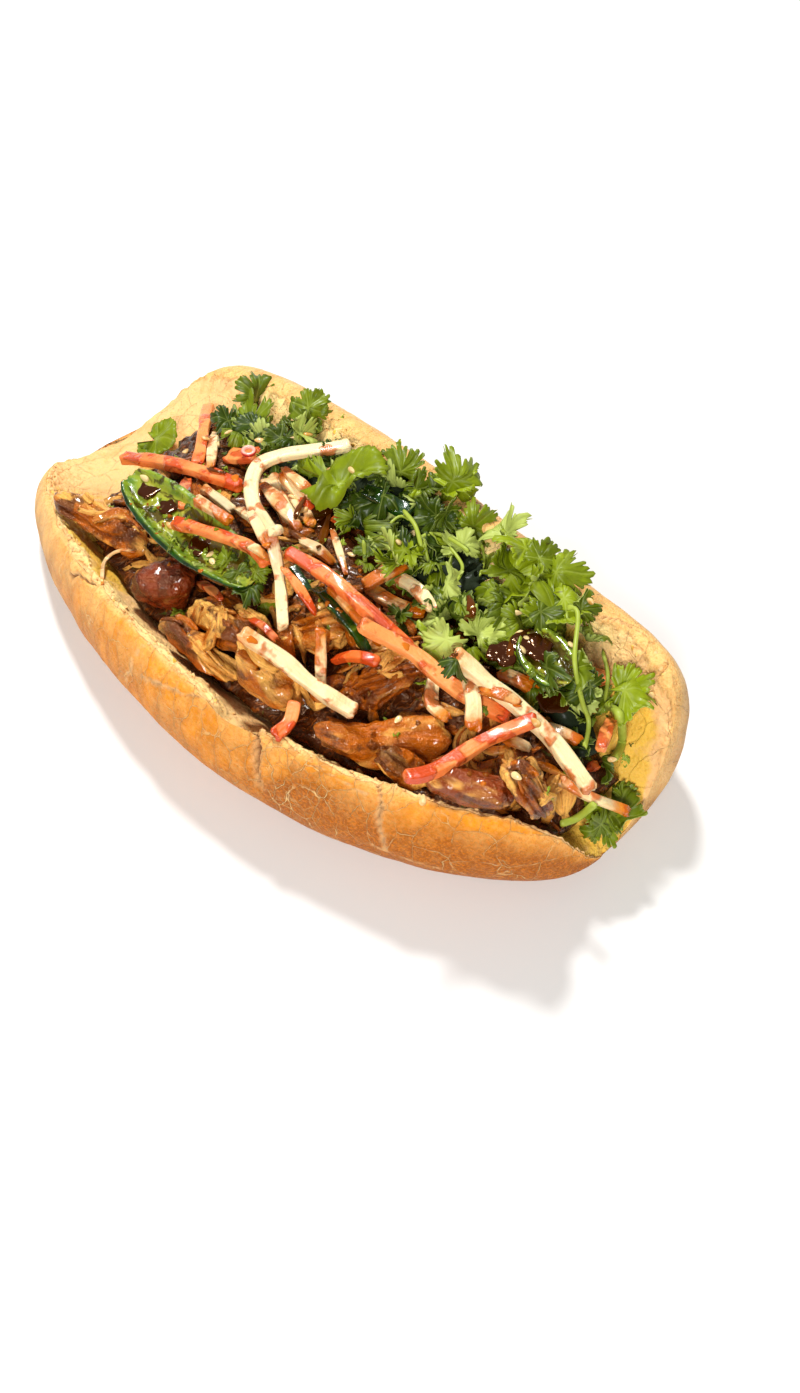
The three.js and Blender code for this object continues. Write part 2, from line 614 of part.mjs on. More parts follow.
// The chopped herbs along the back: a low bumpy core with the leaves that show fused on.
const HEAP_RUN = [[-58, 24], [-35, 26], [-12, 27], [14, 27], [40, 24], [66, 22], [88, 17], [100, 12]];
const HEAP_WIDE = 19;
const HEAP_HIGH = 9;
const HEAP_LEAVES = [
  { at: [3, 31], radius: 8, turn: 142, rise: 3, roll: 1 },
  { at: [20, 29], radius: 7, turn: 14, rise: 1, roll: 2 },
  { at: [41, 25], radius: 9, turn: -157, rise: 2, roll: -2 },
  { at: [85, 18], radius: 7, turn: 10, rise: 2, roll: 2 },
];

function makeHeap() {
  const curve = new THREE.CatmullRomCurve3(HEAP_RUN.map(([x, y]) => new THREE.Vector3(x, y, 0)));
  const cuts = 24;
  const rings = [];
  for (let cut = 0; cut <= cuts; cut += 1) {
    const share = cut / cuts;
    const point = curve.getPointAt(share);
    const ahead = curve.getTangentAt(share);
    const across = new THREE.Vector3(-ahead.y, ahead.x, 0);
    const girth = Math.max(0.3, Math.sin(Math.PI * clamp(share, 0.03, 0.97)) ** 0.4);
    const ring = [];
    for (let side = 0; side < 8; side += 1) {
      const angle = ((side + 0.5) / 8) * 2 * Math.PI;
      const bump = 1 + 0.3 * noise(point.x, Math.cos(angle) * 9, Math.sin(angle) * 9, 6);
      const sideways = Math.cos(angle) * (HEAP_WIDE / 2) * girth * bump;
      const upward = Math.sin(angle) * (HEAP_HIGH / 2) * girth * bump;
      ring.push(point.clone().addScaledVector(across, sideways).setZ(upward));
    }
    rings.push(ring);
  }
  const core = lay(loft(rings, middleOf(rings[0]), middleOf(rings[cuts])), 4, 9);
  imprint(core);
  const leaves = HEAP_LEAVES.map((leaf) => lay(makeLeaf(leaf), 4, 6, -1.4));
  return fuse([core, ...leaves]);
}

// ---------------------------------------------------------------- sesame seeds
// Seeds stuck to a piece that is already laid down, at plan places on its top.
function withSeeds(geometry, places) {
  const tops = new Map();
  overSurface(geometry, (x, y, z) => {
    const cell = cellOf(x, y);
    tops.set(cell, Math.max(z, tops.get(cell) ?? -Infinity));
  });
  const seeds = places.filter(([x, y]) => tops.has(cellOf(x, y))).map(([x, y], count) => {
    const seed = makeSeed(3.2, 2.1, 1.5);
    seed.rotateZ(count * 1.3);
    seed.translate(x, y, tops.get(cellOf(x, y)) + 0.2);
    return seed;
  });
  return fuse([geometry, ...seeds]);
}

// ---------------------------------------------------------------- the sandwich
const sandwich = new THREE.Group();

function add(name, geometry, finish) {
  const mesh = new THREE.Mesh(geometry, finish);
  mesh.name = name;
  sandwich.add(mesh);
  imprint(geometry);
}

function addLeaf(leaf) {
  add(leaf.name, lay(makeLeaf(leaf), 4, 8), HERB);
}

const STRIP_FINISH = { carrot: CARROT, daikon: DAIKON, chilli: CHILLI };
const RIM_SEEDS = [[84, -33], [52, -47], [88, 44], [70, 45], [-20, 43], [103, 36]];
const LONG_PIECE_SEEDS = [[66, -20], [58, -27]];

add("bread", withSeeds(makeBread(), RIM_SEEDS), CRUST);
add("filling_bed", makeBed(), MEAT);
for (const lump of LUMPS) {
  const laid = makeLump(lump);
  const seeded = lump.name === "meat_long_piece" ? withSeeds(laid, LONG_PIECE_SEEDS) : laid;
  add(lump.name, seeded, lump.dark ? MEAT_DARK : MEAT);
}
add("herb_heap", makeHeap(), HERB);
const BIG_SLICE = { at: [-29, -21], size: [62, 19, 10], turn: -1, lean: 12, hollow: 3.2, seeds: 8, cuts: 12 };
add("chilli_big_slice", makeBoat(BIG_SLICE), CHILLI);
for (const strip of STRIPS) {
  for (const leaf of LEAVES.filter((one) => one.under === strip.name)) {
    addLeaf(leaf);
  }
  add(strip.name, makeStrip(strip), STRIP_FINISH[strip.name.split("_")[0]]);
}
const CUP_SLICE = { at: [77, 18], size: [20, 15, 7], turn: -17, lean: 8, hollow: 2.4, seeds: 5, cuts: 9 };
add("chilli_cup_slice", makeBoat(CUP_SLICE), CHILLI);
const torus = new THREE.TorusGeometry(1.8, 0.8, 6, 12);
torus.deleteAttribute("normal");
torus.deleteAttribute("uv");
torus.translate(-46.5, 15, 0);
add("red_chilli_ring", lay(mergeVertices(torus, 1e-4), 12, 3), RED_CHILLI);
for (const leaf of LEAVES.filter((one) => !one.under)) {
  addLeaf(leaf);
}

// The origin is the middle of the sandwich's underside.
const bounds = new THREE.Box3().setFromObject(sandwich);
const middle = bounds.getCenter(new THREE.Vector3());
sandwich.position.set(-middle.x, -middle.y, -bounds.min.z);

export default sandwich;
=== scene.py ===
"""A banh mi sandwich: a crusty roll opened like a trough and filled with glazed pulled meat, strips
of carrot and daikon, slices of green chilli and coriander. Lengths are in metres, as in the frame."""

import math
import random

import bpy
import numpy as np
from bpy.props import FloatProperty, FloatVectorProperty, PointerProperty
from mathutils import Matrix, Vector, noise
from mathutils.bvhtree import BVHTree


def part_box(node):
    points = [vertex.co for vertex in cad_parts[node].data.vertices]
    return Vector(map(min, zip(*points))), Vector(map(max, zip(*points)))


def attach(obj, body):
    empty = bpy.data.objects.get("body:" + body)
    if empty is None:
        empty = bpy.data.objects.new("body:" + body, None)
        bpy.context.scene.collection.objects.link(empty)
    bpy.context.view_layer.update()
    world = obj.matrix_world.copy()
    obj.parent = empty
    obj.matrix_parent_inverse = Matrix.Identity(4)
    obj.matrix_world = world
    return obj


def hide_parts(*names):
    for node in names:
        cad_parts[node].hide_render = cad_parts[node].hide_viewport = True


bl_info = {
    "name": "Banh Mi Sandwich",
    "version": (1, 0, 0),
    "blender": (4, 5, 0),
    "location": "View3D > Sidebar > Banh Mi",
    "description": "Dresses the solids of a banh mi sandwich",
    "category": "Add Mesh",
}

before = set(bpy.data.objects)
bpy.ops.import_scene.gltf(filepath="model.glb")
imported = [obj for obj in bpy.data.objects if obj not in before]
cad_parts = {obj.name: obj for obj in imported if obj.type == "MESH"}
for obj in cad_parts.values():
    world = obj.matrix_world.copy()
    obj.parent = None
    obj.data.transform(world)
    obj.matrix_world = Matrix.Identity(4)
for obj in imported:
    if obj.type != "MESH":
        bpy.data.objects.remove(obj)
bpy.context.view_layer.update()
MM = 0.001

# ------------------------------------------------------------------ the roll's driving dimensions
HALF_LENGTH = 114 * MM
HALF_WIDTH = 59 * MM
HINGE_Y = -18.5 * MM
FRONT_HEIGHT = 38 * MM
BACK_HEIGHT = 48 * MM
HINGE_THICK = 15 * MM
TIP_LIFT = 8 * MM
TIP_CURL = 3.5                  # how late the tips rise
FLAT_SHARE = 0.3                # share of the length that lies flat
BEND_LEFT = 19.7 * MM           # how far each end bends to the back
BEND_RIGHT = 26.4 * MM
# Powers that shape each end: two for its width and one for its height.
ENDS = {"left": (1.94, 0.15, 1.51), "right": (1.59, 0.27, 13)}
# Half a section, as shares of its width and height, one step for each point: round the crust from
# below, over the rim and down the crumb to the hinge.
CRUST_LINE = [(0, 0), (0.46, 0), (0.70, 0.03), (0.90, 0.19), (1, 0.45), (0.97, 0.74), (0.88, 0.95)]
RIM_LINE = [(0.82, 1), (0.75, 0.97)]
CRUMB_LINE = [(0.64, 0.74), (0.47, 0.52), (0.25, 0.40)]
SECTION_STEPS = len(CRUST_LINE) + len(RIM_LINE) + len(CRUMB_LINE)
HALVES = {
    "front": (-1, HALF_WIDTH + HINGE_Y, FRONT_HEIGHT),
    "back": (1, HALF_WIDTH - HINGE_Y, BACK_HEIGHT),
}

# Cracks of the crust: half, both ends as (x in mm, section step), width and depth in mm, and how
# far one side stands proud.
CRACKS = [
    ("front", (34, 7.6), (41, 4.6), 1.9, 3.6, 1.3),
    ("front", (70, 7.4), (77, 4.2), 1.1, 1.2, 1.4),
    ("front", (73, 4.1), (95, 3.5), 0.7, 1.2, 0.6),
    ("front", (52, 6.6), (70, 6.0), 0.5, 0.6, 0.4),
    ("front", (-6, 5.2), (12, 5.9), 0.7, 0.8, 0.8),
    ("front", (12, 5.9), (17, 7.0), 0.6, 0.8, 0.5),
    ("front", (-54, 5.6), (-40, 7.0), 1.1, 1.8, 0.7),
    ("front", (-14, 4.4), (-9, 6.6), 0.4, 0.4, 0.2),
    ("back", (76, 7.9), (88, 6.6), 0.9, 1.4, 0.5),
    ("back", (80, 7.6), (91, 6.9), 0.7, 1.0, 0.3),
]
CRACK_STEP_LENGTH = 8 * MM

# ------------------------------------------------------------------ the camera's place
PICTURE = (800, 1393)
FOCAL_PIXELS = 1300
LENS_CENTRE = (400, 696.5)
CAMERA_BACK = Vector((0.4404, -0.4041, 0.8017)).normalized()
CAMERA_RIGHT = Vector((0.6761, 0.7368, 0)).normalized()
CAMERA_UP = CAMERA_BACK.cross(CAMERA_RIGHT)
RING_PLACE = Vector((-46.5, 15, 0)) * MM      # the chilli ring, from the roll's own middle
RING_LOW, RING_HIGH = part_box("red_chilli_ring")
SHIFT = (RING_LOW + RING_HIGH) / 2 - RING_PLACE
SHIFT.z = 0
CAMERA_PLACE = Vector((208.1, -154.8, 320.6)) * MM + SHIFT
TARGET_PLACE = Vector((0, -18.5, 30)) * MM + SHIFT
SENSOR = 36                     # its longer side, in mm

# Seeds of the random draws.
CHANCE = {"crumbs": 31, "shreds": 21, "heap": 5, "leaves": 6, "bits": 12, "sauce": 3, "sesame": 8}


def spot(x, y, z=0.0):
    """A place given in millimetres from the roll's own middle."""
    return Vector((x, y, z)) * MM + SHIFT


def srgb(red, green, blue):
    """A scene colour from the 0 to 255 numbers that a colour picker shows."""
    def linear(value):
        value /= 255
        return value / 12.92 if value <= 0.04045 else ((value + 0.055) / 1.055) ** 2.4
    return (linear(red), linear(green), linear(blue))


def length(name, description, millimetres):
    return FloatProperty(name=name, description=description, default=millimetres * MM, unit="LENGTH")


def colour(name, description, *shade):
    return FloatVectorProperty(
        name=name, description=description, default=srgb(*shade), subtype="COLOR", size=3)


# ------------------------------------------------------------------ settings
class BanhMiRollSettings(bpy.types.PropertyGroup):
    """Sizes and colours of the roll."""

    wrinkle: length("Crust wrinkles", "Height of the crust's slow dents", 0.55)
    flake: length("Crust edge", "How far the crust stands over the crumb at the cut", 0.5)
    torn: length("Torn rim", "Raggedness of the cut crumb", 1.6)
    pore: length("Crumb pores", "Depth of the crumb's holes", 0.7)
    crust: colour("Crust", "Golden crust", 251, 155, 18)
    # Pale crust: the crust's own less browned patches, and also painted light at the left end and high on the
    # front crust
    crust_pale: colour("Pale crust", "Crust that browned least", 255, 205, 128)
    # Dark crust: the crust's own browning low on the sides, and also painted shade there
    crust_dark: colour("Dark crust", "Crust low on the sides", 156, 80, 0)
    crumb: colour("Crumb", "The soft inside", 250, 197, 132)
    butter: colour("Butter", "Crumb soaked with butter", 242, 190, 40)
    # Toasted crumb: also used as painted shade in the crumb's pores
    toasted: colour("Toasted crumb", "Browned spots of the crumb", 222, 150, 70)


class BanhMiFillingSettings(bpy.types.PropertyGroup):
    """Sizes and colours of the filling."""

    voxel: length("Detail", "Size of the faces that the pieces are remade with", 0.45)
    fibre: length("Meat fibres", "Height of the fibres of the meat", 0.42)
    leaf: length("Leaf thickness", "Thickness of a coriander leaf", 0.28)
    seed: length("Sesame seed", "Length of a sesame seed", 3.0)
    meat: colour("Meat", "Roasted meat", 190, 96, 6)
    meat_pale: colour("Pale meat", "Torn inside of the meat", 252, 188, 90)
    meat_plum: colour("Dark meat", "Glaze of the darkest pieces", 124, 42, 12)
    meat_char: colour("Charred meat", "Burnt edges", 66, 22, 8)
    carrot: colour("Carrot", "Pickled carrot", 255, 158, 82)
    carrot_red: colour("Red carrot", "Carrot soaked with sauce", 242, 110, 36)
    daikon: colour("Daikon", "Pickled daikon", 253, 227, 172)
    stain: colour("Stain", "Sauce soaked into the daikon", 216, 130, 20)
    chilli_skin: colour("Chilli skin", "Skin of the green chilli", 10, 36, 3)
    chilli_flesh: colour("Chilli flesh", "Cut flesh of the green chilli", 138, 160, 34)
    red_chilli: colour("Red chilli", "Flesh of the red chilli", 204, 40, 30)
    herb: colour("Coriander", "Top of a leaf", 150, 166, 12)
    herb_pale: colour("Pale coriander", "Underside of a leaf", 190, 202, 104)
    sauce: colour("Sauce", "Dark sweet sauce", 54, 19, 0)
    sesame: colour("Sesame", "Sesame seed", 238, 206, 142)


class BanhMiStageSettings(bpy.types.PropertyGroup):
    """The floor and the light."""

    floor: colour("Floor", "Pale floor", 244, 243, 240)
    key: FloatProperty(name="Key light", description="Power of the main light", default=7.4, unit="POWER")
    fill: FloatProperty(name="Fill light", description="Power of the fill light", default=6.6, unit="POWER")
    sky: FloatProperty(name="Sky", description="Strength of the even light around", default=0.24)


# ------------------------------------------------------------------ shader expressions
class Value:
    """A socket of a finish that can stand in a Python expression."""

    def __init__(self, finish, socket):
        self.finish = finish
        self.socket = socket

    def __add__(self, other):
        return self.finish.maths("ADD", self, other)

    def __radd__(self, other):
        return self.finish.maths("ADD", other, self)

    def __sub__(self, other):
        return self.finish.maths("SUBTRACT", self, other)

    def __rsub__(self, other):
        return self.finish.maths("SUBTRACT", other, self)

    def __mul__(self, other):
        return self.finish.maths("MULTIPLY", self, other)

    def __rmul__(self, other):
        return self.finish.maths("MULTIPLY", other, self)


class Finish:
    """A material, with short ways to add nodes to it."""

    def __init__(self, name, roughness=0.5, **sockets):
        self.material = bpy.data.materials.new(name)
        self.material.use_nodes = True
        self.tree = self.material.node_tree
        self.tree.nodes.clear()
        self.skin = self.tree.nodes.new("ShaderNodeBsdfPrincipled")
        output = self.tree.nodes.new("ShaderNodeOutputMaterial")
        self.tree.links.new(self.skin.outputs[0], output.inputs["Surface"])
        self.place = self.node("ShaderNodeTexCoord", output="Object")
        self.feed(self.skin.inputs["Roughness"], roughness)
        for key, value in sockets.items():
            self.feed(self.skin.inputs[key.replace("_", " ").title()], value)

    def feed(self, socket, value):
        """Links or sets one input."""
        if isinstance(value, Value):
            self.tree.links.new(value.socket, socket)
        elif socket.type == "RGBA" and not isinstance(value, (int, float)):
            socket.default_value = (*tuple(value)[:3], 1)
        else:
            socket.default_value = value

    def node(self, kind, settings=None, inputs=None, output=0):
        """Adds a node, sets it, feeds its inputs and returns one of its outputs."""
        made = self.tree.nodes.new(kind)
        for key, value in (settings or {}).items():
            setattr(made, key, value)
        for key, value in (inputs or {}).items():
            self.feed(made.inputs[key], value)
        return Value(self, made.outputs[output])

    def maths(self, operation, *values):
        return self.node("ShaderNodeMath", {"operation": operation}, dict(enumerate(values)))

    def least(self, one, other):
        return self.maths("MINIMUM", one, other)

    def most(self, one, other):
        return self.maths("MAXIMUM", one, other)

    def mix(self, factor, one, other):
        """Goes from one colour to the other."""
        return self.node("ShaderNodeMix", {"data_type": "RGBA"}, {0: factor, 6: one, 7: other}, 2)

    def layers(self, base, *coats):
        """Lays colours over a base, each as (factor, colour)."""
        for factor, colour in coats:
            base = self.mix(factor, base, colour)
        return base

    def ease(self, value, low, high):
        """0 below low, 1 above high, softly between; low may be the greater one."""
        settings = {"interpolation_type": "SMOOTHSTEP"}
        return self.node("ShaderNodeMapRange", settings, {0: value, 1: low, 2: high, 3: 0.0, 4: 1.0})

    def scaled(self, size, stretch=(1, 1, 1), place=None):
        """Coordinates that grow by one for each size, given in millimetres."""
        factors = tuple(1000 / (size * one) for one in stretch)
        inputs = {0: place or self.place, 1: factors}
        return self.node("ShaderNodeVectorMath", {"operation": "MULTIPLY"}, inputs)

    def grain(self, size, detail=3.0, rough=0.5, stretch=(1, 1, 1), place=None, warp=0.0):
        """Soft noise whose lumps are about size millimetres across."""
        inputs = {"Vector": self.scaled(size, stretch, place), "Scale": 1.0, "Detail": detail,
                  "Roughness": rough, "Distortion": warp}
        return self.node("ShaderNodeTexNoise", None, inputs)

    def cells(self, size, feature="F1", place=None, stretch=(1, 1, 1), output="Distance"):
        """Distance to the middle or the edge of the cells of a random pattern, or a colour for each."""
        inputs = {"Vector": self.scaled(size, stretch, place), "Scale": 1.0}
        return self.node("ShaderNodeTexVoronoi", {"feature": feature}, inputs, output)

    def warped(self, size, amount):
        """The place, pushed about by noise: amount and the noise's size are in millimetres."""
        cloud = self.node("ShaderNodeTexNoise", None, {"Vector": self.scaled(size), "Scale": 1.0}, "Color")
        factors = (amount * MM,) * 3
        push = self.node("ShaderNodeVectorMath", {"operation": "MULTIPLY"}, {0: cloud, 1: factors})
        return self.node("ShaderNodeVectorMath", {"operation": "ADD"}, {0: self.place, 1: push})

    def mark(self, name, output="Fac"):
        """A value that the mesh carries."""
        return self.node("ShaderNodeAttribute", {"attribute_name": name}, None, output)

    def marks(self, *names):
        """Several of them."""
        return [self.mark(name) for name in names]

    def bump(self, height, distance):
        """Relief of the given height in millimetres."""
        inputs = {"Height": height, "Distance": distance * MM, "Strength": 1.0}
        return self.node("ShaderNodeBump", None, inputs)

    def dress(self, base, roughness=None, normal=None):
        """Feeds the surface and returns the material."""
        self.feed(self.skin.inputs["Base Color"], base)
        if roughness is not None:
            self.feed(self.skin.inputs["Roughness"], roughness)
        if normal is not None:
            self.feed(self.skin.inputs["Normal"], normal)
        return self.material


# ------------------------------------------------------------------ finishes
def crust_finish(roll):
    """Crust in large plates with a net of finer cracks, and a soft crumb, buttered in places."""
    finish = Finish("crust_and_crumb", subsurface_weight=0.1, subsurface_radius=(0.006, 0.003, 0.0012))
    finish.skin.inputs["Subsurface Scale"].default_value = 0.6
    finish.skin.inputs["Specular IOR Level"].default_value = 0.16
    crumb, torn, deep, low, left, butter, crackled, rim = finish.marks(
        "crumb", "torn", "deep", "low", "left", "butter", "crackled", "rim")
    broad, blotch = finish.grain(26, 2), finish.grain(8, 4, 0.6)
    fine, sand = finish.grain(1.6, 4, 0.7), finish.grain(0.8, 2, 0.6)
    cloudy = finish.ease(broad * 0.6 + blotch * 0.4, 0.36, 0.66)
    # large plates: their edges, a tone for each, and their middles
    plate = {"size": 8, "place": finish.warped(6, 4), "stretch": (0.8, 1.5, 1.5)}
    plate_edge = finish.cells(feature="DISTANCE_TO_EDGE", **plate)
    plate_line = finish.ease(plate_edge, 0.02, 0.004) * finish.ease(blotch, 0.36, 0.5)
    plate_tone = finish.cells(output="Color", **plate) * 1.0
    plates = finish.ease(finish.cells(**plate), 0.15, 0.7)
    # the finer net between them
    net = {"size": 3.4, "place": finish.warped(2.5, 1.6)}
    net_edge = finish.cells(feature="DISTANCE_TO_EDGE", **net)
    net_line = finish.ease(net_edge, 0.04, 0.008) * finish.ease(crackled * 0.7 + blotch, 0.62, 1.0)
    chip_tone = finish.cells(output="Color", **net) * 1.0
    crackle = finish.most(plate_line * (0.6 + crackled * 0.4), net_line * 0.35)
    specks = finish.ease(finish.cells(1.3), 0.3, 0.1) * finish.ease(finish.grain(5, 3), 0.45, 0.65)
    # browned: darker low on the sides, partly the crust's own browning and partly painted shade, with random
    # blotches and plates
    browned = finish.ease(low + blotch * 0.35 + plates * 0.15, 0.35, 1.2)
    crusted = finish.layers(
        roll.crust,
        # partly painted light: the crust is painted paler towards the left end and high on the front, besides
        # its own paler browning
        (finish.ease(left + cloudy * 0.35, 0.1, 0.9), roll.crust_pale),
        (finish.ease(blotch, 0.5, 0.75) * 0.35, roll.crust_pale),
        (plates * 0.2, roll.crust_dark),
        (finish.ease(plate_tone, 0.35, 0.75) * 0.3, roll.crust_pale),
        (finish.ease(chip_tone, 0.4, 0.6) * (0.08 + crackled * 0.4), roll.crust_dark),
        (browned * 0.95, roll.crust_dark),
        (crackle * 0.8, srgb(255, 214, 146)),
        (specks * 0.35, srgb(206, 100, 6)),
        (finish.ease(fine, 0.4, 0.66) * 0.4 * (1 - browned * 0.7), roll.crust_pale),
        (finish.ease(sand, 0.46, 0.64) * (0.5 - left * 0.2), srgb(224, 122, 4)),
        (torn * 0.85, roll.crumb),
        # painted shade: the inside of the deeper cracks is painted dark brown
        (deep, srgb(112, 48, 8)))
    toast = finish.ease(finish.grain(7, 3, 0.6), 0.5, 0.68) * (1 - butter)
    buttered = finish.ease(butter * 0.7 + blotch * 1.3, 0.9, 1.25)
    # pores: pits of the crumb, sunk in the relief and darkened as painted shade
    pores = finish.ease(finish.cells(1.5), 0.42, 0.1) * finish.ease(blotch, 0.35, 0.6)
    soft = finish.layers(
        roll.crumb,
        (toast * 0.42, roll.toasted),
        # painted light: the crumb along the rim is painted lighter
        (rim * 0.6, srgb(255, 226, 150)),
        (buttered * 0.75, roll.butter),
        # painted shade in the pores
        (pores * 0.12, roll.toasted))
    roughness = 0.42 + crumb * 0.35 - crumb * buttered * 0.4 + fine * 0.15
    dimples = finish.grain(2.6, 4, 0.65)
    lips = finish.ease(plate_edge, 0.12, 0.02) * (0.3 + crackled * 0.7)
    steps = plate_tone * 0.3 + chip_tone * 0.15 * (0.3 + crackled)
    relief = (fine * 0.6 + sand * 0.5 + dimples * 0.6 - specks * 0.3 + lips * 0.25 + steps) * (1 - crumb)
    relief = relief - crackle * 0.7 - pores * crumb * 0.4 + finish.grain(0.9, 3) * crumb * 0.7
    return finish.dress(finish.mix(crumb, crusted, soft), roughness, finish.bump(relief, 0.6))


WARM_GLOSS = (1.0, 0.6, 0.34)    # sauce tints the light that it reflects


def meat_finish(filling):
    """Glazed meat: fibres run along each piece's own length, which the mesh carries as grain."""
    finish = Finish("glazed_meat", coat_weight=0.35, coat_roughness=0.03, specular_tint=WARM_GLOSS,
                    subsurface_weight=0.05, subsurface_radius=(0.003, 0.0012, 0.0006))
    finish.skin.inputs["Specular IOR Level"].default_value = 0.7
    along = finish.mark("grain", "Vector")
    dark, torn, groove, plum = finish.marks("dark", "torn", "groove", "plum")
    fibres = finish.grain(0.8, 4, 0.6, (9, 1, 1), along, 0.4)
    strands = finish.grain(2.2, 3, 0.55, (5, 1, 1), along, 0.6)
    patches = finish.grain(7, 4, 0.6, warp=0.5)
    burnt = finish.ease(patches * 0.9 + dark * 0.35, 0.53, 0.66)
    zone = finish.grain(6, 2, 0.5, (2.2, 1, 1), along, 0.4)
    pale = finish.ease(zone + strands * 0.3 + torn * 0.45 - dark * 0.3, 0.64, 0.96)
    base = finish.layers(
        filling.meat,
        (plum, filling.meat_plum),
        (pale, filling.meat_pale),
        (finish.ease(fibres, 0.42, 0.62) * 0.4, srgb(140, 56, 4)),
        # painted shade: the grooves between flakes and fibres are painted dark
        (groove * 0.6, srgb(78, 24, 2)),
        (burnt * 0.78, filling.meat_char))
    gloss = finish.grain(3.5, 3, 0.6)
    roughness = 0.1 + finish.ease(gloss, 0.4, 0.7) * 0.2 + torn * 0.2
    knobs = finish.grain(1.6, 4, 0.6)
    relief = fibres * 0.6 + strands * 0.6 + knobs * 1.2
    return finish.dress(base, roughness, finish.bump(relief, 0.8))


def strip_finish(name, clean, tinged, stain, amount, glow):
    """A moist strip: clean colour, the same tinged with sauce, and dark stains."""
    finish = Finish(name, coat_weight=0.25, coat_roughness=0.12, subsurface_weight=glow,
                    subsurface_radius=(0.004, 0.0022, 0.001))
    along = finish.mark("grain", "Vector")
    wet, tone = finish.marks("wet", "tone")
    threads = finish.grain(0.8, 3, 0.6, (14, 1, 1), along)
    patches = finish.grain(6.5, 4, 0.6, warp=0.6)
    mottle = finish.grain(1.6, 4, 0.6)
    tinge = finish.ease(patches * 0.7 + tone * 0.6 + wet * 0.4 + mottle * 0.15, 0.52, 0.96)
    drips = finish.ease(finish.grain(5.0, 2, 0.45) + wet * 0.12 + tone * 0.14, 0.56, 0.67)
    base = finish.layers(
        clean, (tinge, tinged), (finish.ease(threads, 0.5, 0.75) * 0.3, tinged), (drips * amount, stain))
    roughness = 0.34 + threads * 0.2 + mottle * 0.1 - drips * 0.3
    relief = threads * 0.7 + drips * 0.8 + mottle * 0.8
    return finish.dress(base, roughness, finish.bump(relief, 0.45))


def carrot_finish(filling):
    return strip_finish("carrot", filling.carrot, filling.carrot_red, srgb(190, 44, 6), 0.7, 0.12)


def daikon_finish(filling):
    return strip_finish("daikon", filling.daikon, filling.stain, srgb(196, 92, 0), 0.85, 0.25)


def chilli_finish(filling):
    finish = Finish("green_chilli", coat_weight=0.8, coat_roughness=0.05, subsurface_weight=0.08,
                    subsurface_radius=(0.001, 0.002, 0.0006))
    flesh, pith = finish.marks("flesh", "pith")
    skin = finish.mix(finish.ease(finish.grain(5, 4, 0.6), 0.35, 0.75), filling.chilli_skin, srgb(30, 76, 10))
    cut = finish.layers(
        filling.chilli_flesh,
        (finish.ease(finish.grain(3, 4), 0.4, 0.7), srgb(78, 116, 20)),
        (pith * 0.5, srgb(206, 176, 44)))
    drips = finish.ease(finish.grain(6, 3, 0.55, warp=1.0) + pith * 0.22, 0.56, 0.66)
    base = finish.layers(skin, (flesh, cut), (drips * flesh * 0.85, filling.sauce))
    roughness = 0.14 + flesh * 0.16 - drips * flesh * 0.15
    relief = finish.grain(1.6, 4) * (0.25 + flesh * 0.7)
    return finish.dress(base, roughness, finish.bump(relief, 0.4))


def herb_finish(filling):
    """Coriander: veins fan out from the stalk along the lobes, in the leaf's own plane."""
    finish = Finish("coriander", coat_weight=0.1, coat_roughness=0.25)
    finish.skin.inputs["Specular IOR Level"].default_value = 0.3
    leaf = finish.mark("leaf", "Vector")
    ahead = finish.node("ShaderNodeSeparateXYZ", None, {0: leaf}, "X")
    side = finish.maths("ABSOLUTE", finish.node("ShaderNodeSeparateXYZ", None, {0: leaf}, "Y"))
    vein = 1.0
    for angle in LOBE_ANGLES:
        line = finish.maths("ABSOLUTE", ahead * math.sin(angle) - side * math.cos(angle))
        vein = finish.least(vein, line)
    under, tone, core = finish.marks("under", "tone", "core")
    mottle = finish.grain(2.2, 4, 0.6)
    base = finish.layers(
        # painted shade and painted light: low tones paint a leaf this dark green, high tones a bright
        # yellow-green for light and glow through the leaf
        srgb(44, 64, 2),
        (finish.ease(tone + mottle * 0.4, 0.15, 1.25), filling.herb),
        (finish.ease(tone * 0.8 + mottle * 0.5, 0.9, 1.25), srgb(164, 184, 78)),
        (finish.ease(vein, 0.035, 0.005) * 0.22, filling.herb_pale),
        (under * 0.7, filling.herb_pale),
        (finish.ease(finish.grain(5, 3, warp=0.8), 0.68, 0.76) * 0.8, filling.sauce),
        # painted shade: the heap's core is painted near-black green as the shade inside the heap
        (core, srgb(18, 30, 3)))
    roughness = 0.38 + mottle * 0.12 + under * 0.15 + core * 0.4
    relief = finish.ease(vein, 0.0, 0.12) * 0.6 + mottle * (0.3 + core * 2)
    return finish.dress(base, roughness, finish.bump(relief, 0.3))


def sauce_finish(filling):
    finish = Finish("sauce", coat_weight=0.3, coat_roughness=0.03, specular_tint=WARM_GLOSS)
    thick = finish.grain(4, 3)
    base = finish.mix(finish.mark("tone"), filling.sauce, srgb(210, 112, 24))
    return finish.dress(base, 0.08 + thick * 0.06, finish.bump(finish.grain(3, 2), 0.4))


def sesame_finish(filling):
    finish = Finish("sesame", coat_weight=0.3)
    mottle = finish.grain(1.2, 3)
    base = finish.mix(finish.ease(mottle + finish.mark("tone") * 0.4, 0.45, 0.9),
                      filling.sesame, srgb(206, 146, 62))
    return finish.dress(base, 0.35 + mottle * 0.1, finish.bump(mottle, 0.1))


def red_chilli_finish(filling):
    finish = Finish("red_chilli", coat_weight=0.7, coat_roughness=0.08)
    inner = finish.mark("pith")
    mottle = finish.grain(1.5, 3)
    base = finish.mix(finish.ease(inner + mottle * 0.3, 0.4, 0.9), filling.red_chilli, srgb(250, 170, 150))
    return finish.dress(base, 0.2 + mottle * 0.1, finish.bump(mottle, 0.2))


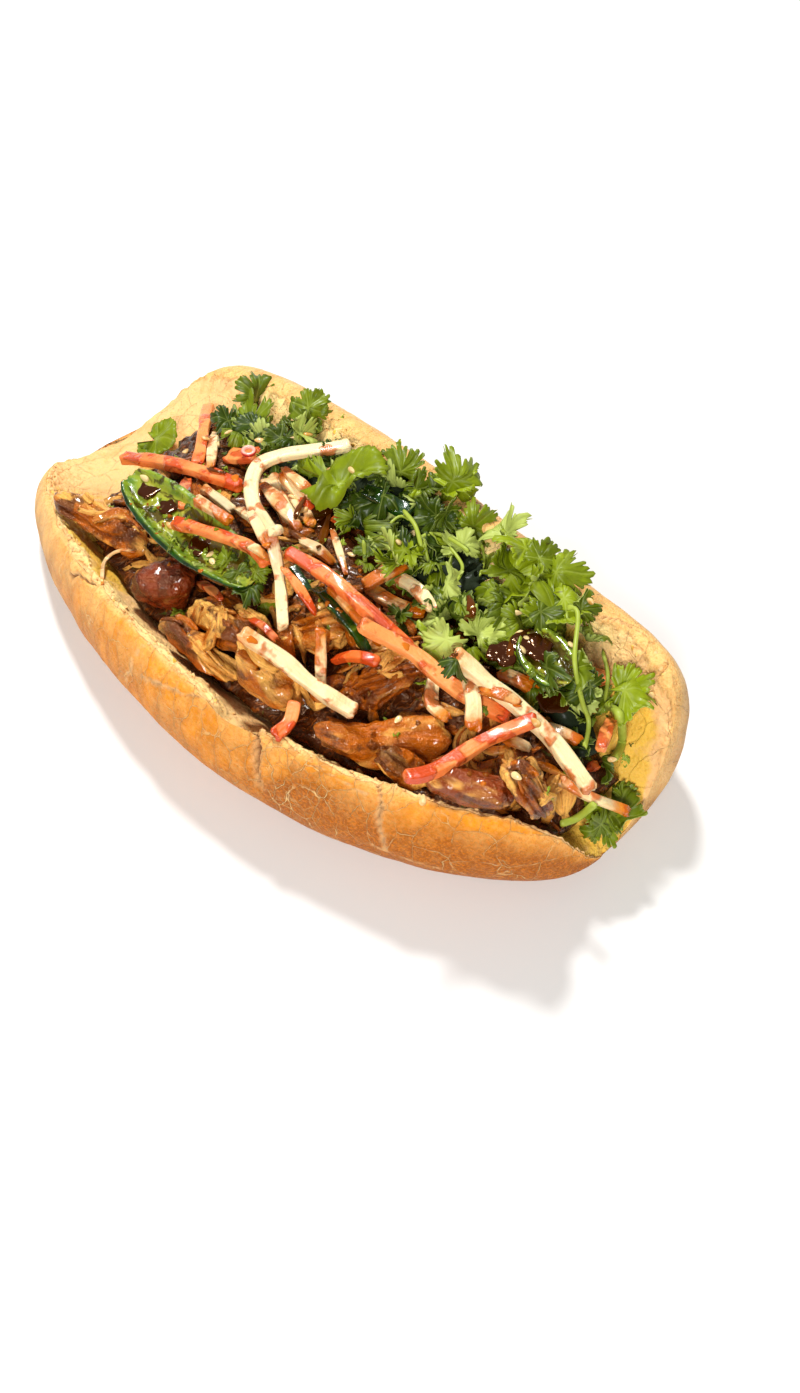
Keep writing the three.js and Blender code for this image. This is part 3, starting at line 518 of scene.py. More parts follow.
def bed_finish():
    """The mixed lower layer: shreds of meat, flecks of herb and dark sauce."""
    finish = Finish("sauced_filling", coat_weight=0.15, coat_roughness=0.1, specular_tint=WARM_GLOSS)
    shreds = finish.grain(2.2, 4, 0.65, (1, 1.8, 1), warp=1.2)
    base = finish.layers(
        srgb(66, 27, 6),
        (finish.ease(shreds, 0.5, 0.75), srgb(176, 92, 24)),
        (finish.ease(finish.grain(3.4, 3, warp=0.7), 0.62, 0.7) * 0.7, srgb(52, 78, 14)),
        (finish.ease(finish.grain(9, 3), 0.5, 0.6) * 0.5, srgb(36, 13, 4)))
    return finish.dress(base, 0.16 + shreds * 0.2, finish.bump(shreds, 0.9))


# ------------------------------------------------------------------ meshes
def noise_at(points, size, offset=0.0):
    """Soft noise between about -1 and 1 at each point, its lumps about size metres across."""
    shift = Vector((offset, offset * 1.7, -offset))
    scale = 1 / size
    return np.array([noise.noise(Vector(point) * scale + shift) for point in points])


def cells_at(points, size):
    """Distance to the nearest middle of a random cell, as a share of the cell's size."""
    scale = 1 / size
    return np.array([noise.voronoi(Vector(point) * scale)[0][0] for point in points])


def ease(values, low, high):
    """The same soft step as a finish's ease, on numbers."""
    reach = np.clip((np.asarray(values, float) - low) / (high - low), 0, 1)
    return reach * reach * (3 - 2 * reach)


def bell(first, second=0.0):
    """1 at nought, falling softly to 0 a little past 1 on either side."""
    return np.exp(-first ** 2 - second ** 2)


def shaken(aim, chance, amount):
    """A direction pushed about at random."""
    return aim + Vector([chance.uniform(-amount, amount) for axis in range(3)])


def around(count):
    """Even angles round a circle."""
    return np.linspace(0, 2 * math.pi, count, False)


def seed_of(name):
    """A number for random draws that stays the same for a name."""
    return sum(map(ord, name))


def unit(vectors):
    return vectors / np.maximum(np.linalg.norm(vectors, axis=-1, keepdims=True), 1e-12)


def normals_of(points, faces):
    """The normal at each point, from the faces around it."""
    corners = points[faces]
    flat = np.cross(corners[:, 2] - corners[:, 0], corners[:, -1] - corners[:, 1])
    total = np.zeros_like(points)
    for corner in range(faces.shape[1]):
        np.add.at(total, faces[:, corner], flat)
    return unit(total)


OVERHEAD = 0.2                  # a height over everything, where rays start
DOWN = Vector((0, 0, -1))


class Ground:
    """Finds what lies on top, over all the pieces laid so far."""

    def __init__(self):
        self.trees = []

    def add(self, points, faces, name=""):
        self.trees.append((BVHTree.FromPolygons(points.tolist(), faces.tolist()), name))

    def along(self, start, direction):
        """The nearest hit of a ray: its place, the normal and the piece's name, or None."""
        hits = [(*tree.ray_cast(start, direction), name) for tree, name in self.trees]
        hits = [hit for hit in hits if hit[0] is not None]
        if not hits:
            return None
        place, normal, *rest, name = min(hits, key=lambda hit: hit[3])
        return place, normal if normal.dot(direction) < 0 else -normal, name

    def at(self, x, y):
        """The top surface at a place of the plan."""
        return self.along(Vector((x, y, OVERHEAD)), DOWN)

    def seen(self, column, row):
        """What the camera sees at a pixel of its 800 by 1393 picture."""
        direction = CAMERA_RIGHT * (column - LENS_CENTRE[0])
        direction -= CAMERA_UP * (row - LENS_CENTRE[1]) + CAMERA_BACK * FOCAL_PIXELS
        hit = self.along(CAMERA_PLACE, direction.normalized())
        if hit is None:
            raise ValueError("the camera sees nothing at pixel %d, %d" % (column, row))
        return hit


ground = Ground()


def add_piece(name, points, faces, material, nodes=(), marks=None, lies=True):
    """Makes a piece from arrays, with the values that its finish reads, and puts it on its body."""
    mesh = bpy.data.meshes.new(name)
    mesh.from_pydata(points.tolist(), [], faces.tolist())
    for key, values in (marks or {}).items():
        kind = "FLOAT" if np.ndim(values) == 1 else "FLOAT_VECTOR"
        layer = mesh.attributes.new(key, kind, "POINT")
        numbers = np.ravel(values).astype(np.float32)
        layer.data.foreach_set("value" if kind == "FLOAT" else "vector", numbers)
    mesh.shade_smooth()
    mesh.materials.append(material)
    piece = bpy.data.objects.new(name, mesh)
    bpy.context.scene.collection.objects.link(piece)
    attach(piece, "root")
    if nodes:
        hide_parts(*nodes)
    if lies:
        ground.add(points, faces, name)
    return piece


def on_strip(hit):
    """Whether a hit is on a strip of carrot or daikon."""
    return hit[2].startswith(("carrot", "daikon"))


class Heap:
    """Collects many small meshes that make one piece."""

    def __init__(self):
        self.points = []
        self.faces = []
        self.marks = {}
        self.count = 0

    def add(self, points, faces, **marks):
        self.points.append(points)
        self.faces.append(faces + self.count)
        for key, values in marks.items():
            shape = (len(points),) if np.ndim(values) == 0 else np.shape(values)
            self.marks.setdefault(key, []).append(np.broadcast_to(values, shape))
        self.count += len(points)

    def piece(self, name, material, slot, nodes=(), lies=True):
        marks = {key: np.concatenate(values) for key, values in self.marks.items()}
        points, faces = np.concatenate(self.points), np.concatenate(self.faces)
        return add_piece(name, points, faces, material, nodes, marks, lies)


def even_mesh(node, voxel, rounds=3):
    """A CAD node's form remade with small even faces: points and faces."""
    copy = bpy.data.objects.new("working_copy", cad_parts[node].data.copy())
    bpy.context.scene.collection.objects.link(copy)
    remesh = copy.modifiers.new("even", "REMESH")
    remesh.mode = "VOXEL"
    remesh.voxel_size = voxel
    smooth = copy.modifiers.new("soft", "SMOOTH")
    smooth.iterations = rounds
    mesh = bpy.data.meshes.new_from_object(copy.evaluated_get(bpy.context.evaluated_depsgraph_get()))
    bpy.data.objects.remove(copy)
    points = np.zeros(len(mesh.vertices) * 3)
    mesh.vertices.foreach_get("co", points)
    corners = np.zeros(len(mesh.loops), np.int32)
    mesh.loops.foreach_get("vertex_index", corners)
    bpy.data.meshes.remove(mesh)
    quads = corners.reshape(-1, 4)
    return points.reshape(-1, 3), np.concatenate([quads[:, [0, 1, 2]], quads[:, [0, 2, 3]]])


def tree_of(node):
    """A CAD node's form, for rays."""
    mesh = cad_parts[node].data
    return BVHTree.FromPolygons([vertex.co for vertex in mesh.vertices],
                                [tuple(face.vertices) for face in mesh.polygons])


def height_of(tree, x, y, top):
    """The top of a form at a place of the plan; beside the form, that of its nearest point."""
    hit = tree.ray_cast(Vector((x, y, OVERHEAD)), DOWN)[0]
    return (hit or tree.find_nearest(Vector((x, y, top)))[0]).z


def own_axes(points):
    """A piece's middle and its long, wide and thick directions."""
    middle = points.mean(0)
    axes = np.linalg.svd(points - middle, full_matrices=False)[2]
    return middle, axes


def loft(rings, first_tip, last_tip):
    """A closed skin over equal rings of points, with both ends drawn to a point."""
    count, size = len(rings), len(rings[0])
    points = np.concatenate([*rings, [first_tip], [last_tip]])
    side = np.arange(size)
    after = (side + 1) % size
    faces = []
    for base in range(0, (count - 1) * size, size):
        faces.append(np.stack([base + side, base + after, base + size + after], 1))
        faces.append(np.stack([base + side, base + size + after, base + size + side], 1))
    base = (count - 1) * size
    faces.append(np.stack([after, side, np.full(size, len(points) - 2)], 1))
    faces.append(np.stack([base + side, base + after, np.full(size, len(points) - 1)], 1))
    return points, np.concatenate(faces)


def outward(points, faces):
    """The same faces, turned to face out of a closed skin."""
    corners = points[faces]
    volume = np.einsum("ij,ij->i", corners[:, 0], np.cross(corners[:, 1], corners[:, 2])).sum()
    return faces if volume > 0 else faces[:, ::-1]


def turned(points, place, normal, heading, tilt=0.0):
    """Points of a small mesh turned to lie on a surface: its x ahead, its z along the normal."""
    up = Vector(normal).normalized()
    ahead = Vector((math.cos(heading), math.sin(heading), 0))
    ahead = (ahead - up * ahead.dot(up)).normalized()
    side = up.cross(ahead)
    matrix = Matrix((ahead, side, up)).transposed() @ Matrix.Rotation(tilt, 3, "Y")
    return points @ np.array(matrix).T + np.array(place)


# ------------------------------------------------------------------ the roll
def along_curve(line, place):
    """Points of a smooth curve through a line's points; place counts the points."""
    line = np.array(line, float)
    last = len(line) - 1
    index = np.clip(np.floor(place).astype(int), 0, last)
    rest = (place - index)[..., None]
    before, start = line[np.maximum(index - 1, 0)], line[index]
    end, after = line[np.minimum(index + 1, last)], line[np.minimum(index + 2, last)]
    slope, next_slope = (end - before) / 2, (after - start) / 2
    cubic = 2 * start - 2 * end + slope + next_slope
    square = -3 * start + 3 * end - 2 * slope - next_slope
    return cubic * rest ** 3 + square * rest ** 2 + slope * rest + start


def roll_skin(half, shares, steps):
    """The roll's skin: one row of points for each share of the half length."""
    sign, wide, high = HALVES[half]
    line = along_curve([*CRUST_LINE, *RIM_LINE, *CRUMB_LINE, (0, HINGE_THICK / high)], steps)
    reach = np.minimum(np.abs(shares), 1)
    powers = [np.where(shares < 0, left, right) for left, right in zip(*ENDS.values())]
    width = (1 - reach ** powers[0]) ** powers[1]
    height = np.sqrt(1 - reach ** powers[2])
    bend = np.where(shares < 0, BEND_LEFT, BEND_RIGHT) * shares ** 2
    lift = TIP_LIFT * np.maximum(0, (reach - FLAT_SHARE) / (1 - FLAT_SHARE)) ** TIP_CURL
    x = np.repeat((shares * HALF_LENGTH)[:, None], len(steps), 1)
    y = HINGE_Y + sign * wide * np.outer(width, line[:, 0]) + bend[:, None]
    z = lift[:, None] + high * np.outer(height, np.maximum(0, line[:, 1]))
    return np.stack([x, y, z], -1)


def crack_marks(half, x, step, jag):
    """Relief and bareness beside the cracks, and painted shade inside them; jag moves their edges about."""
    relief, bare, dark = np.zeros_like(x), np.zeros_like(x), np.zeros_like(x)
    place = np.stack([x + jag, step * CRACK_STEP_LENGTH - jag], -1)
    for side_of, start, end, wide, deep, proud in CRACKS:
        if side_of != half:
            continue
        start = np.array([start[0] * MM, start[1] * CRACK_STEP_LENGTH])
        end = np.array([end[0] * MM, end[1] * CRACK_STEP_LENGTH])
        line = end - start
        offset = place - start
        part = offset @ line / (line @ line)
        distance = np.linalg.norm(offset - np.clip(part, 0, 1)[..., None] * line, axis=-1) / MM
        side = line[0] * offset[..., 1] - line[1] * offset[..., 0]
        beside = (part > 0) & (part < 1) & (side > 0)
        relief -= deep * MM * 0.8 * ease(distance, wide * 0.8, 0)
        relief += proud * MM * np.where(beside, ease(distance, 9, 0), 0)
        bare = np.maximum(bare, ease(distance, wide * 1.1, wide * 0.3))
        # dark: painted shade inside the deeper cracks
        dark = np.maximum(dark, ease(distance, wide * 0.6, wide * 0.1) * min(1, deep / 2))
    return relief, bare, dark


ROLL_CUTS = 330
RIM_STEPS = (6.8, 9.2)          # the section steps that get the finest faces
STEP_CUTS = (44, 40, 28)        # faces across each half before, in and after those steps
CRUMB_FROM = {"front": 7.15, "back": 7.9}
BUTTERED = {"front": (7.3, 8.7), "back": (7.9, 9.3)}
RIM_DIP = 5.0 * MM              # how far the front rim is broken down, beside its great crack
RIM_LEAN = 4.0 * MM             # and how far it leans out there
RIM_DIP_AT = 27 * MM
RIM_DIP_REACH = 9 * MM
END_NOTCH = 0.3                 # the dent in the left end, as a share of its height
END_NOTCH_AT = 8 * MM
END_NOTCH_REACH = 8 * MM
CRACKLED_AT = 49 * MM           # the middle of the crust's finest network of cracks
CRACKLED_REACH = 15 * MM
SCORCHED_AT = 54 * MM           # a darker patch low on the front
SCORCHED_REACH = 9 * MM


def roll_tones(half, points, x, step, broad, notch):
    """Where the crumb is buttered or painted lighter at the rim (painted light), and where the crust is
    crackled, paler at the left end and high up, and darker low on the sides; that paleness and darkness are
    partly the crust's own browning and partly painted light and painted shade.
    """
    behind = ease(points[:, 1], -25 * MM, -5 * MM)
    right = ease(x, 20 * MM, 60 * MM)
    far_left = ease(x, -20 * MM, -60 * MM) * ease(x, -104 * MM, -84 * MM)
    zone = behind * right + (1 - behind) * (0.95 * far_left + 0.5 * right)
    butter = (0.12 + 0.88 * zone) * ease(step + broad, *BUTTERED[half])
    # low: darker low on the sides, partly the crust's own browning and partly painted shade
    low = ease(step, 6.9, 4.0)
    if half == "front":
        # paler towards the left end and high on the front crust, and pale all over the back: partly the
        # crust's own lighter browning, partly painted light
        pale = ease(x, -20 * MM, -110 * MM) + 0.5 * ease(step, 6.3, 7.2)
        scorched = bell((x - SCORCHED_AT) / SCORCHED_REACH, (step - 4.6) / 0.9)
        low = low * (0.55 + 0.45 * ease(x, 10 * MM, 80 * MM)) + 0.7 * scorched
    else:
        pale = np.ones(len(points))
        low = 0.5 * low
    crackled = bell((x - CRACKLED_AT) / CRACKLED_REACH)
    # rim: where the crumb along the rim is painted lighter, as painted light
    rim = bell((step - 8.1) / 0.8) * ease(abs(x), 95 * MM, 75 * MM)
    return {"butter": butter, "left": pale, "low": low * (1 - notch ** 0.3), "crackled": crackled, "rim": rim}


def roll_half(settings, half, shares, steps):
    """One half of the roll with its relief: points, and the values that the finish reads."""
    skin = roll_skin(half, shares, steps)
    points = skin.reshape(-1, 3)
    step = np.tile(steps, len(shares))
    x = points[:, 0]
    out = unit(np.cross(np.gradient(skin, axis=0), np.gradient(skin, axis=1)).reshape(-1, 3))
    crust_side = (step > 3) & (step < 6)
    out *= np.sign((out * (points - [0, HINGE_Y, HINGE_THICK]))[crust_side].sum())
    broad, slow = noise_at(points, 19 * MM, 3), noise_at(points, 7 * MM, 5)
    quick, fine = noise_at(points, 2.4 * MM, 9), noise_at(points, 1.2 * MM, 13)
    crumb_line = CRUMB_FROM[half] + 0.45 * slow + 0.3 * quick + 0.3 * broad
    crumb = ease(step, crumb_line - 0.06, crumb_line + 0.06)
    crusted = ease(step, 2.0, 3.6) * (1 - crumb)
    # deep: painted shade inside the cracks
    cracks, bare, deep = crack_marks(half, x, step, (1.1 * slow + 0.7 * quick) * MM)
    pores = ease(cells_at(points, 2.3 * MM), 0.55, 0.1) + ease(cells_at(points, 6 * MM), 0.4, 0.1)
    near_rim = bell((step - 7.9) / 0.7)
    inside = crumb * ease(step, 7.4, 8.4)
    height = crusted * (settings.wrinkle * (broad + 0.4 * slow) + settings.flake * 0.5 + cracks)
    height += crusted * 0.06 * MM * quick - inside * settings.pore * pores * 0.7
    height += inside * settings.pore * (0.45 * slow + 0.3 * quick)
    points = points + out * height[:, None]
    ragged = settings.torn * near_rim * (0.7 * slow + 0.75 * quick + 0.5 * fine)
    if half == "front":
        broken = bell((x - RIM_DIP_AT) / RIM_DIP_REACH)
        ragged -= RIM_DIP * near_rim * broken
        points[:, 1] -= RIM_LEAN * broken * bell((step - 7.8) / 1.3)
    notch = bell((x + HALF_LENGTH) / END_NOTCH_REACH, (points[:, 1] - END_NOTCH_AT) / END_NOTCH_REACH)
    points[:, 2] = np.maximum((points[:, 2] + ragged) * (1 - END_NOTCH * notch), 0)
    marks = {"crumb": crumb, "torn": bare * crusted, "deep": deep * crusted}
    return points, {**marks, **roll_tones(half, points, x, step, broad, notch)}


def make_roll(settings, material):
    """The roll: both halves side by side in one skin, joined at the hinge and at the tips."""
    shares = np.cos(math.pi * (1 - (np.arange(ROLL_CUTS) + 0.5) / ROLL_CUTS))
    shares = np.sign(shares) * np.abs(shares) ** 0.95
    bounds = (0, *RIM_STEPS, SECTION_STEPS)
    steps = np.concatenate([np.linspace(first, last, cuts, False)
                            for first, last, cuts in zip(bounds, bounds[1:], STEP_CUTS)])
    halves, marks = zip(roll_half(settings, "front", shares, steps),
                        roll_half(settings, "back", shares, SECTION_STEPS - steps))
    rings = list(np.concatenate([points.reshape(len(shares), -1, 3) for points in halves], 1))
    tips = [(sign * HALF_LENGTH, HINGE_Y + bend, TIP_LIFT + 0.5 * MM)
            for sign, bend in ((-1, BEND_LEFT), (1, BEND_RIGHT))]
    points, faces = loft(rings, *tips)
    points = points + np.array(SHIFT)
    joined = {}
    for key in marks[0]:
        both = [one[key].reshape(len(shares), -1) for one in marks]
        joined[key] = np.append(np.concatenate(both, 1).ravel(), [0, 0])
    return add_piece("crusty_roll", points, outward(points, faces), material,
                     ["bread"], joined)


# ------------------------------------------------------------------ meat and the bed of filling
# Each piece of meat: how charred it is, how much torn pale inside shows, how purple its glaze is and
# how flaky it is, all from 0 to 1.
MEAT = {
    "meat_end_piece": (0.3, 0.45, 0.0, 1.0), "meat_round_piece": (0.4, 0.05, 1.0, 0.0),
    "meat_low_piece": (0.35, 0.55, 0.35, 0.9), "meat_char_piece": (0.45, 0.6, 0.1, 0.8),
    "meat_fold_piece": (0.0, 0.8, 0.0, 0.7), "meat_shreds": (0.0, 0.7, 0.0, 1.0),
    "meat_long_piece": (0.15, 0.2, 0.0, 0.2), "meat_crumbly_piece": (0.35, 0.5, 0.0, 1.0),
    "meat_sauced_piece": (0.4, 0.5, 0.2, 1.0), "meat_middle_piece": (0.05, 0.4, 0.0, 0.8),
    "meat_dark_piece": (0.25, 0.15, 0.9, 0.15), "meat_pale_end": (0.25, 0.6, 0.4, 1.0),
}
MEAT_CUTS = 7                   # flat faces that each piece is cut back to
LAYER = 5.5 * MM                # thickness of one layer of muscle


def make_meat(settings, material, node):
    """Meat over its CAD form: flat torn faces, layers of muscle along it and frayed ends."""
    dark, torn, plum, flaky = MEAT[node]
    points, faces = even_mesh(node, settings.voxel)
    middle, axes = own_axes(points)
    own = (points - middle) @ axes.T
    seed = seed_of(node) % 89
    chance = random.Random(seed)
    bare = np.zeros(len(points))
    for number in range(MEAT_CUTS):
        way = unit(np.array([chance.gauss(0, 0.6), chance.gauss(0, 1), chance.gauss(0, 1)]))
        reach = own @ way
        over = np.maximum(reach - reach.max() * chance.uniform(0.62, 0.86), 0)
        own = own - over[:, None] * way * 0.8 * (0.4 + 0.6 * flaky)
        if number % 2:
            bare = np.maximum(bare, ease(over, 0.1 * MM, 1.2 * MM))
    points = own @ axes + middle
    out = normals_of(points, faces)
    warp = 1.8 * MM * np.column_stack([noise_at(own, 10 * MM, seed + shift) for shift in (20, 30, 40)])
    bent = own + warp
    fibres = 1 - 2.5 * np.abs(noise_at(bent * [0.12, 1, 1], 1.6 * MM, seed))
    lumps = noise_at(bent * [0.6, 1, 1], 7 * MM, seed + 5)
    knobs = noise_at(bent, 2.6 * MM, seed + 6)
    lean = chance.uniform(0, math.pi)
    layer = (bent[:, 1] * math.cos(lean) + bent[:, 2] * math.sin(lean)) / min(LAYER, np.ptp(own[:, 2]) / 2.5)
    layer = layer + 1.3 * noise_at(bent * [0.3, 1, 1], 9 * MM, seed + 7)
    saw = layer - np.floor(layer)
    flake = ease(saw, 0, 0.8) * ease(saw, 1, 0.82)
    reach = np.abs(own[:, 0]) / np.abs(own[:, 0]).max()
    ends = ease(reach, 0.6, 1)
    ragged = np.clip(torn * (0.35 + bare) + 0.4 * ends * torn + 0.3 * lumps, 0, 1)
    height = settings.fibre * fibres * (0.2 + 0.6 * ragged)
    height += (1.2 * lumps + (0.75 - 0.4 * flaky) * knobs + flaky * 1.3 * (flake - 0.6)) * MM
    points = points + out * height[:, None]
    fray = noise_at(own * [0, 1, 1], 1.8 * MM, seed + 9) * (0.6 + 3.2 * torn) * MM * ends
    points = points + (np.sign(own[:, 0]) * fray)[:, None] * axes[0]
    # painted shade in the grooves between the flakes and the fibres
    groove = np.maximum(ease(flake, 0.35, 0) * flaky, ease(fibres, -0.2, -1.2) * 0.6)
    marks = {"grain": own, "dark": np.full(len(points), dark) + 0.3 * lumps - 0.4 * bare,
             "torn": ragged, "groove": groove, "plum": np.full(len(points), plum)}
    return add_piece(node + "_glazed", points, faces, material, [node], marks)


SHREDS = 460
SHRED_SIDES = 12
# Pieces that no shred lies on, by how their names start.
KEPT_CLEAR = ("crusty_roll", "meat_round", "meat_long", "meat_dark")
FILLED_FROM = -47               # where the filling begins behind the front rim, in mm across


def lying_path(x, y, heading, long, bend, cuts, lift):
    """A bent path over whatever lies below: its places, or None past the edge."""
    path = []
    for share in np.linspace(-0.5, 0.5, cuts):
        turn = heading + bend * share
        place = (x + math.cos(turn) * long * share, y + math.sin(turn) * long * share)
        hit = ground.at(*place)
        if hit is None or hit[2].startswith(KEPT_CLEAR):
            return None
        path.append((*place, hit[0].z + lift))
    path = np.array(path)
    path[:, 2] = np.maximum(evened(path[:, 2], 2), path[:, 2] - 1.5 * MM)
    return path


def make_shreds(material, chance):
    """Loose shreds of meat over the bed and between the pieces."""
    heap = Heap()
    for number in range(SHREDS):
        # a quarter of them lie towards the front, and another quarter at the right end
        across = chance.uniform(-50, -34) if number % 4 == 0 else chance.gauss(-14, 13)
        place = spot(chance.uniform(72, 108) if number % 4 == 1 else chance.uniform(-90, 106), across)
        along = (place.x - SHIFT.x) / HALF_LENGTH
        if across < FILLED_FROM * math.sqrt(1 - along ** 2) or across > 30:
            continue
        wide = chance.uniform(0.9, 6.0) * MM
        path = lying_path(place.x, place.y, chance.gauss(0.2, 0.7), chance.uniform(5, 14) * MM,
                          chance.uniform(-1, 1), 12, wide * 0.15)
        if path is None:
            continue
        points, faces, own = bar_mesh(path, wide, 1.0 * MM + wide * 0.2, number, 0.5, 0.8 * MM,
                                      1.8, 0.5, SHRED_SIDES)
        tone = chance.random()
        heap.add(points, faces, grain=own, dark=0.6 - 0.7 * tone, torn=0.1 + 0.8 * tone, groove=0.0)
    return heap.piece("meat_shreds_loose", material, "meat")


def make_bed(material):
    """The mixed lower layer, over its CAD form."""
    points, faces = even_mesh("filling_bed", 1.3 * MM, 2)
    out = normals_of(points, faces)
    shreds = 1 - 2 * np.abs(noise_at(points * [1, 1.9, 1.4], 7 * MM, 2))
    lumps = noise_at(points, 3.2 * MM, 4)
    top = ease(out[:, 2], 0.1, 0.6)
    points = points + out * ((1.5 * shreds + 0.7 * lumps) * MM * top)[:, None]
    return add_piece("mixed_filling", points, faces, material, ["filling_bed"])


# ------------------------------------------------------------------ strips
# Each strip: the places in mm that it runs through, its width and thickness in mm, and how red or
# how stained it is, from 0 to 1.
STRIPS = {
    "daikon_back_short_a": ([(-34, -14), (-20, -12)], 3.0, 2.6, 0.35),
    "daikon_back_short_b": ([(-47, -3), (-32, -3)], 3.0, 2.4, 0.2),
    "carrot_left_upright": ([(-90, 30), (-68, 12), (-58, 3)], 3.8, 2.6, 0.3),
    "carrot_dark_short": ([(32, -18), (45, -13)], 2.9, 2.4, 1.0),
    "carrot_fallen": ([(37, -36), (40.5, -41), (41, -46.5)], 3.8, 2.0, 0.45),
    "carrot_right_upper": ([(81, 30), (88, 32)], 4.0, 2.4, 0.3),
    "carrot_right_lower": ([(95, 27), (103, 12)], 3.2, 2.4, 0.3),
    "daikon_stained_low": ([(20, 5), (31, 7), (38, 11)], 4.2, 2.2, 0.5),
    "daikon_pair": ([(22, 13), (41, 11)], 3.8, 2.6, 0.15),
    "daikon_cross_short": ([(21, 3), (25, 16)], 4.2, 2.4, 0.5),
    "daikon_green_edge": ([(20, -8), (32, -9), (41, -8)], 3.3, 2.6, 0.55),
    "daikon_fan_a": ([(-35, 13), (-13, 5)], 5.0, 2.6, 0.2),
    "daikon_fan_b": ([(-31, 16), (-16, 15)], 4.8, 2.6, 0.25),
    "carrot_left_middle": ([(-35, -22), (-23, -19), (-15, -17), (-6, -15), (2, -16)], 3.6, 2.6, 0.55),
    "carrot_left_top": ([(-85, -8), (-59, -1), (-38, 5)], 4.3, 3.2, 0.6),
    "carrot_left_curl": ([(-54.5, 12.5), (-50, 14.5), (-45.5, 17.5)], 6.5, 2.4, 0.2),
    "daikon_right_stained": ([(68, 10), (81, 13)], 4.0, 2.2, 0.5),
    "daikon_right_thin": ([(99, 3), (107, 6), (115, 13)], 2.8, 1.8, 0.45),
    "daikon_right_short": ([(85, 7), (97, 11)], 3.2, 2.4, 0.35),
    "daikon_left_drape": ([(-2, -11), (6, -15), (18, -24)], 3.4, 2.6, 0.1),
    "carrot_middle_long": ([(4, -10), (18, -8), (39, -7), (50, -6)], 4.0, 3.0, 0.6),
    "daikon_upright": ([(26, -17), (38, -28)], 3.3, 2.8, 0.35),
    "daikon_broken_long": ([(17, -37), (28, -32), (37, -30), (50, -26)], 4.4, 2.8, 0.25),
    "daikon_curved_a": ([(53, 2), (58, -5), (63, -10), (70, -11)], 3.6, 1.8, 0.3),
    "carrot_pale_long": ([(39, -14), (51, -7), (64, -5), (82, -1)], 4.2, 2.8, 0.2),
    "daikon_curved_b": ([(67, -1), (74, -6), (78, -10)], 4.2, 1.8, 0.15),
    "daikon_right_long": ([(62, -2), (73, 0), (82, 2), (93, 3), (102, 2), (110, 1)], 4.4, 3.2, 0.2),
    "carrot_cross": ([(89, 2), (84, -11), (82, -28), (79, -35)], 3.8, 2.8, 0.55),
    "daikon_great_curl": ([(-21, 35), (-28, 24), (-32, 16), (-33, 9), (-29, 3), (-22, -2), (-13, -5),
                           (1, -11)], 4.5, 2.8, 0.0),
}
STRIP_CUT = 0.6 * MM            # length of one stretch of a strip
STRIP_SIDES = 24


def travelled(path):
    """How far along a path each of its points lies."""
    return np.concatenate([[0], np.cumsum(np.linalg.norm(np.diff(path, axis=0), axis=1))])


def even_path(fine, step, least):
    """Even points about a step apart along a finely cut path, and no fewer than the least number."""
    far = travelled(fine)
    even = np.linspace(0, far[-1], max(least, int(far[-1] / step)))
    return np.stack([np.interp(even, far, line) for line in fine.T], 1)


def plan_path(run):
    """Even points of a smooth plan curve through places given in mm."""
    fine = along_curve(run, np.linspace(0, len(run) - 1, 40 * len(run))) * MM
    return even_path(fine, STRIP_CUT, 4) + np.array(SHIFT)[:2]


def evened(values, width):
    """A running mean that keeps the ends."""
    width = max(1, min(int(width), len(values) // 2))
    padded = np.pad(values, (width, width), mode="reflect", reflect_type="odd")
    kernel = np.ones(2 * width + 1) / (2 * width + 1)
    return np.convolve(padded, kernel, "valid")


def bar_mesh(path, wide, thick, seed, square=0.36, ragged=0.28 * MM, twist=0.45, taper=0.0,
             sides=STRIP_SIDES):
    """A cut strip along a path: points, faces, and its own long, wide and thick coordinates."""
    ahead = unit(np.gradient(path, axis=0))
    side = unit(np.cross([0, 0, 1], ahead))
    up = np.cross(ahead, side)
    angle = around(sides) + 0.13
    flat = np.stack([np.sign(np.cos(angle)) * np.abs(np.cos(angle)) ** square,
                     np.sign(np.sin(angle)) * np.abs(np.sin(angle)) ** square], 1) / 2
    far = travelled(path)
    rings, own = [], []
    for index, middle in enumerate(path):
        end = min(far[index], far[-1] - far[index])
        size = 1 - 0.3 * ease(end, 0.5 * MM, 0) - taper * ease(end, 9 * MM, 0)
        size *= 1 + 0.8 * ragged / MM * noise.noise(Vector((far[index] / (9 * MM), seed, 0)))
        roll = twist * noise.noise(Vector((far[index] / (22 * MM), seed, 5)))
        across = (flat[:, 0] * math.cos(roll) * wide - flat[:, 1] * math.sin(roll) * thick) * size
        upward = (flat[:, 0] * math.sin(roll) * wide + flat[:, 1] * math.cos(roll) * thick) * size
        rings.append(middle + across[:, None] * side[index] + upward[:, None] * up[index])
        own.append(np.stack([np.full(sides, far[index]), flat[:, 0] * wide, flat[:, 1] * thick], 1))
    points, faces = loft(rings, path[0], path[-1])
    own = np.concatenate([*own, [[0, 0, 0]], [[far[-1], 0, 0]]])
    faces = outward(points, faces)
    out = normals_of(points, faces)
    rough = noise_at(own * [0.3, 1, 1], 1.6 * MM, seed) + 0.6 * noise_at(own, 5 * MM, seed + 2)
    ends = ease(np.minimum(own[:, 0], far[-1] - own[:, 0]), 2.5 * MM, 0)
    points = points + out * (rough * ragged * (0.5 + 1.2 * ends))[:, None]
    jag = noise_at(own * [0, 1, 1], 1.3 * MM, seed + 4) * 1.1 * MM * ends
    points = points + np.sign(own[:, :1] - far[-1] / 2) * jag[:, None] * unit(path[-1] - path[0])
    return points, faces, own


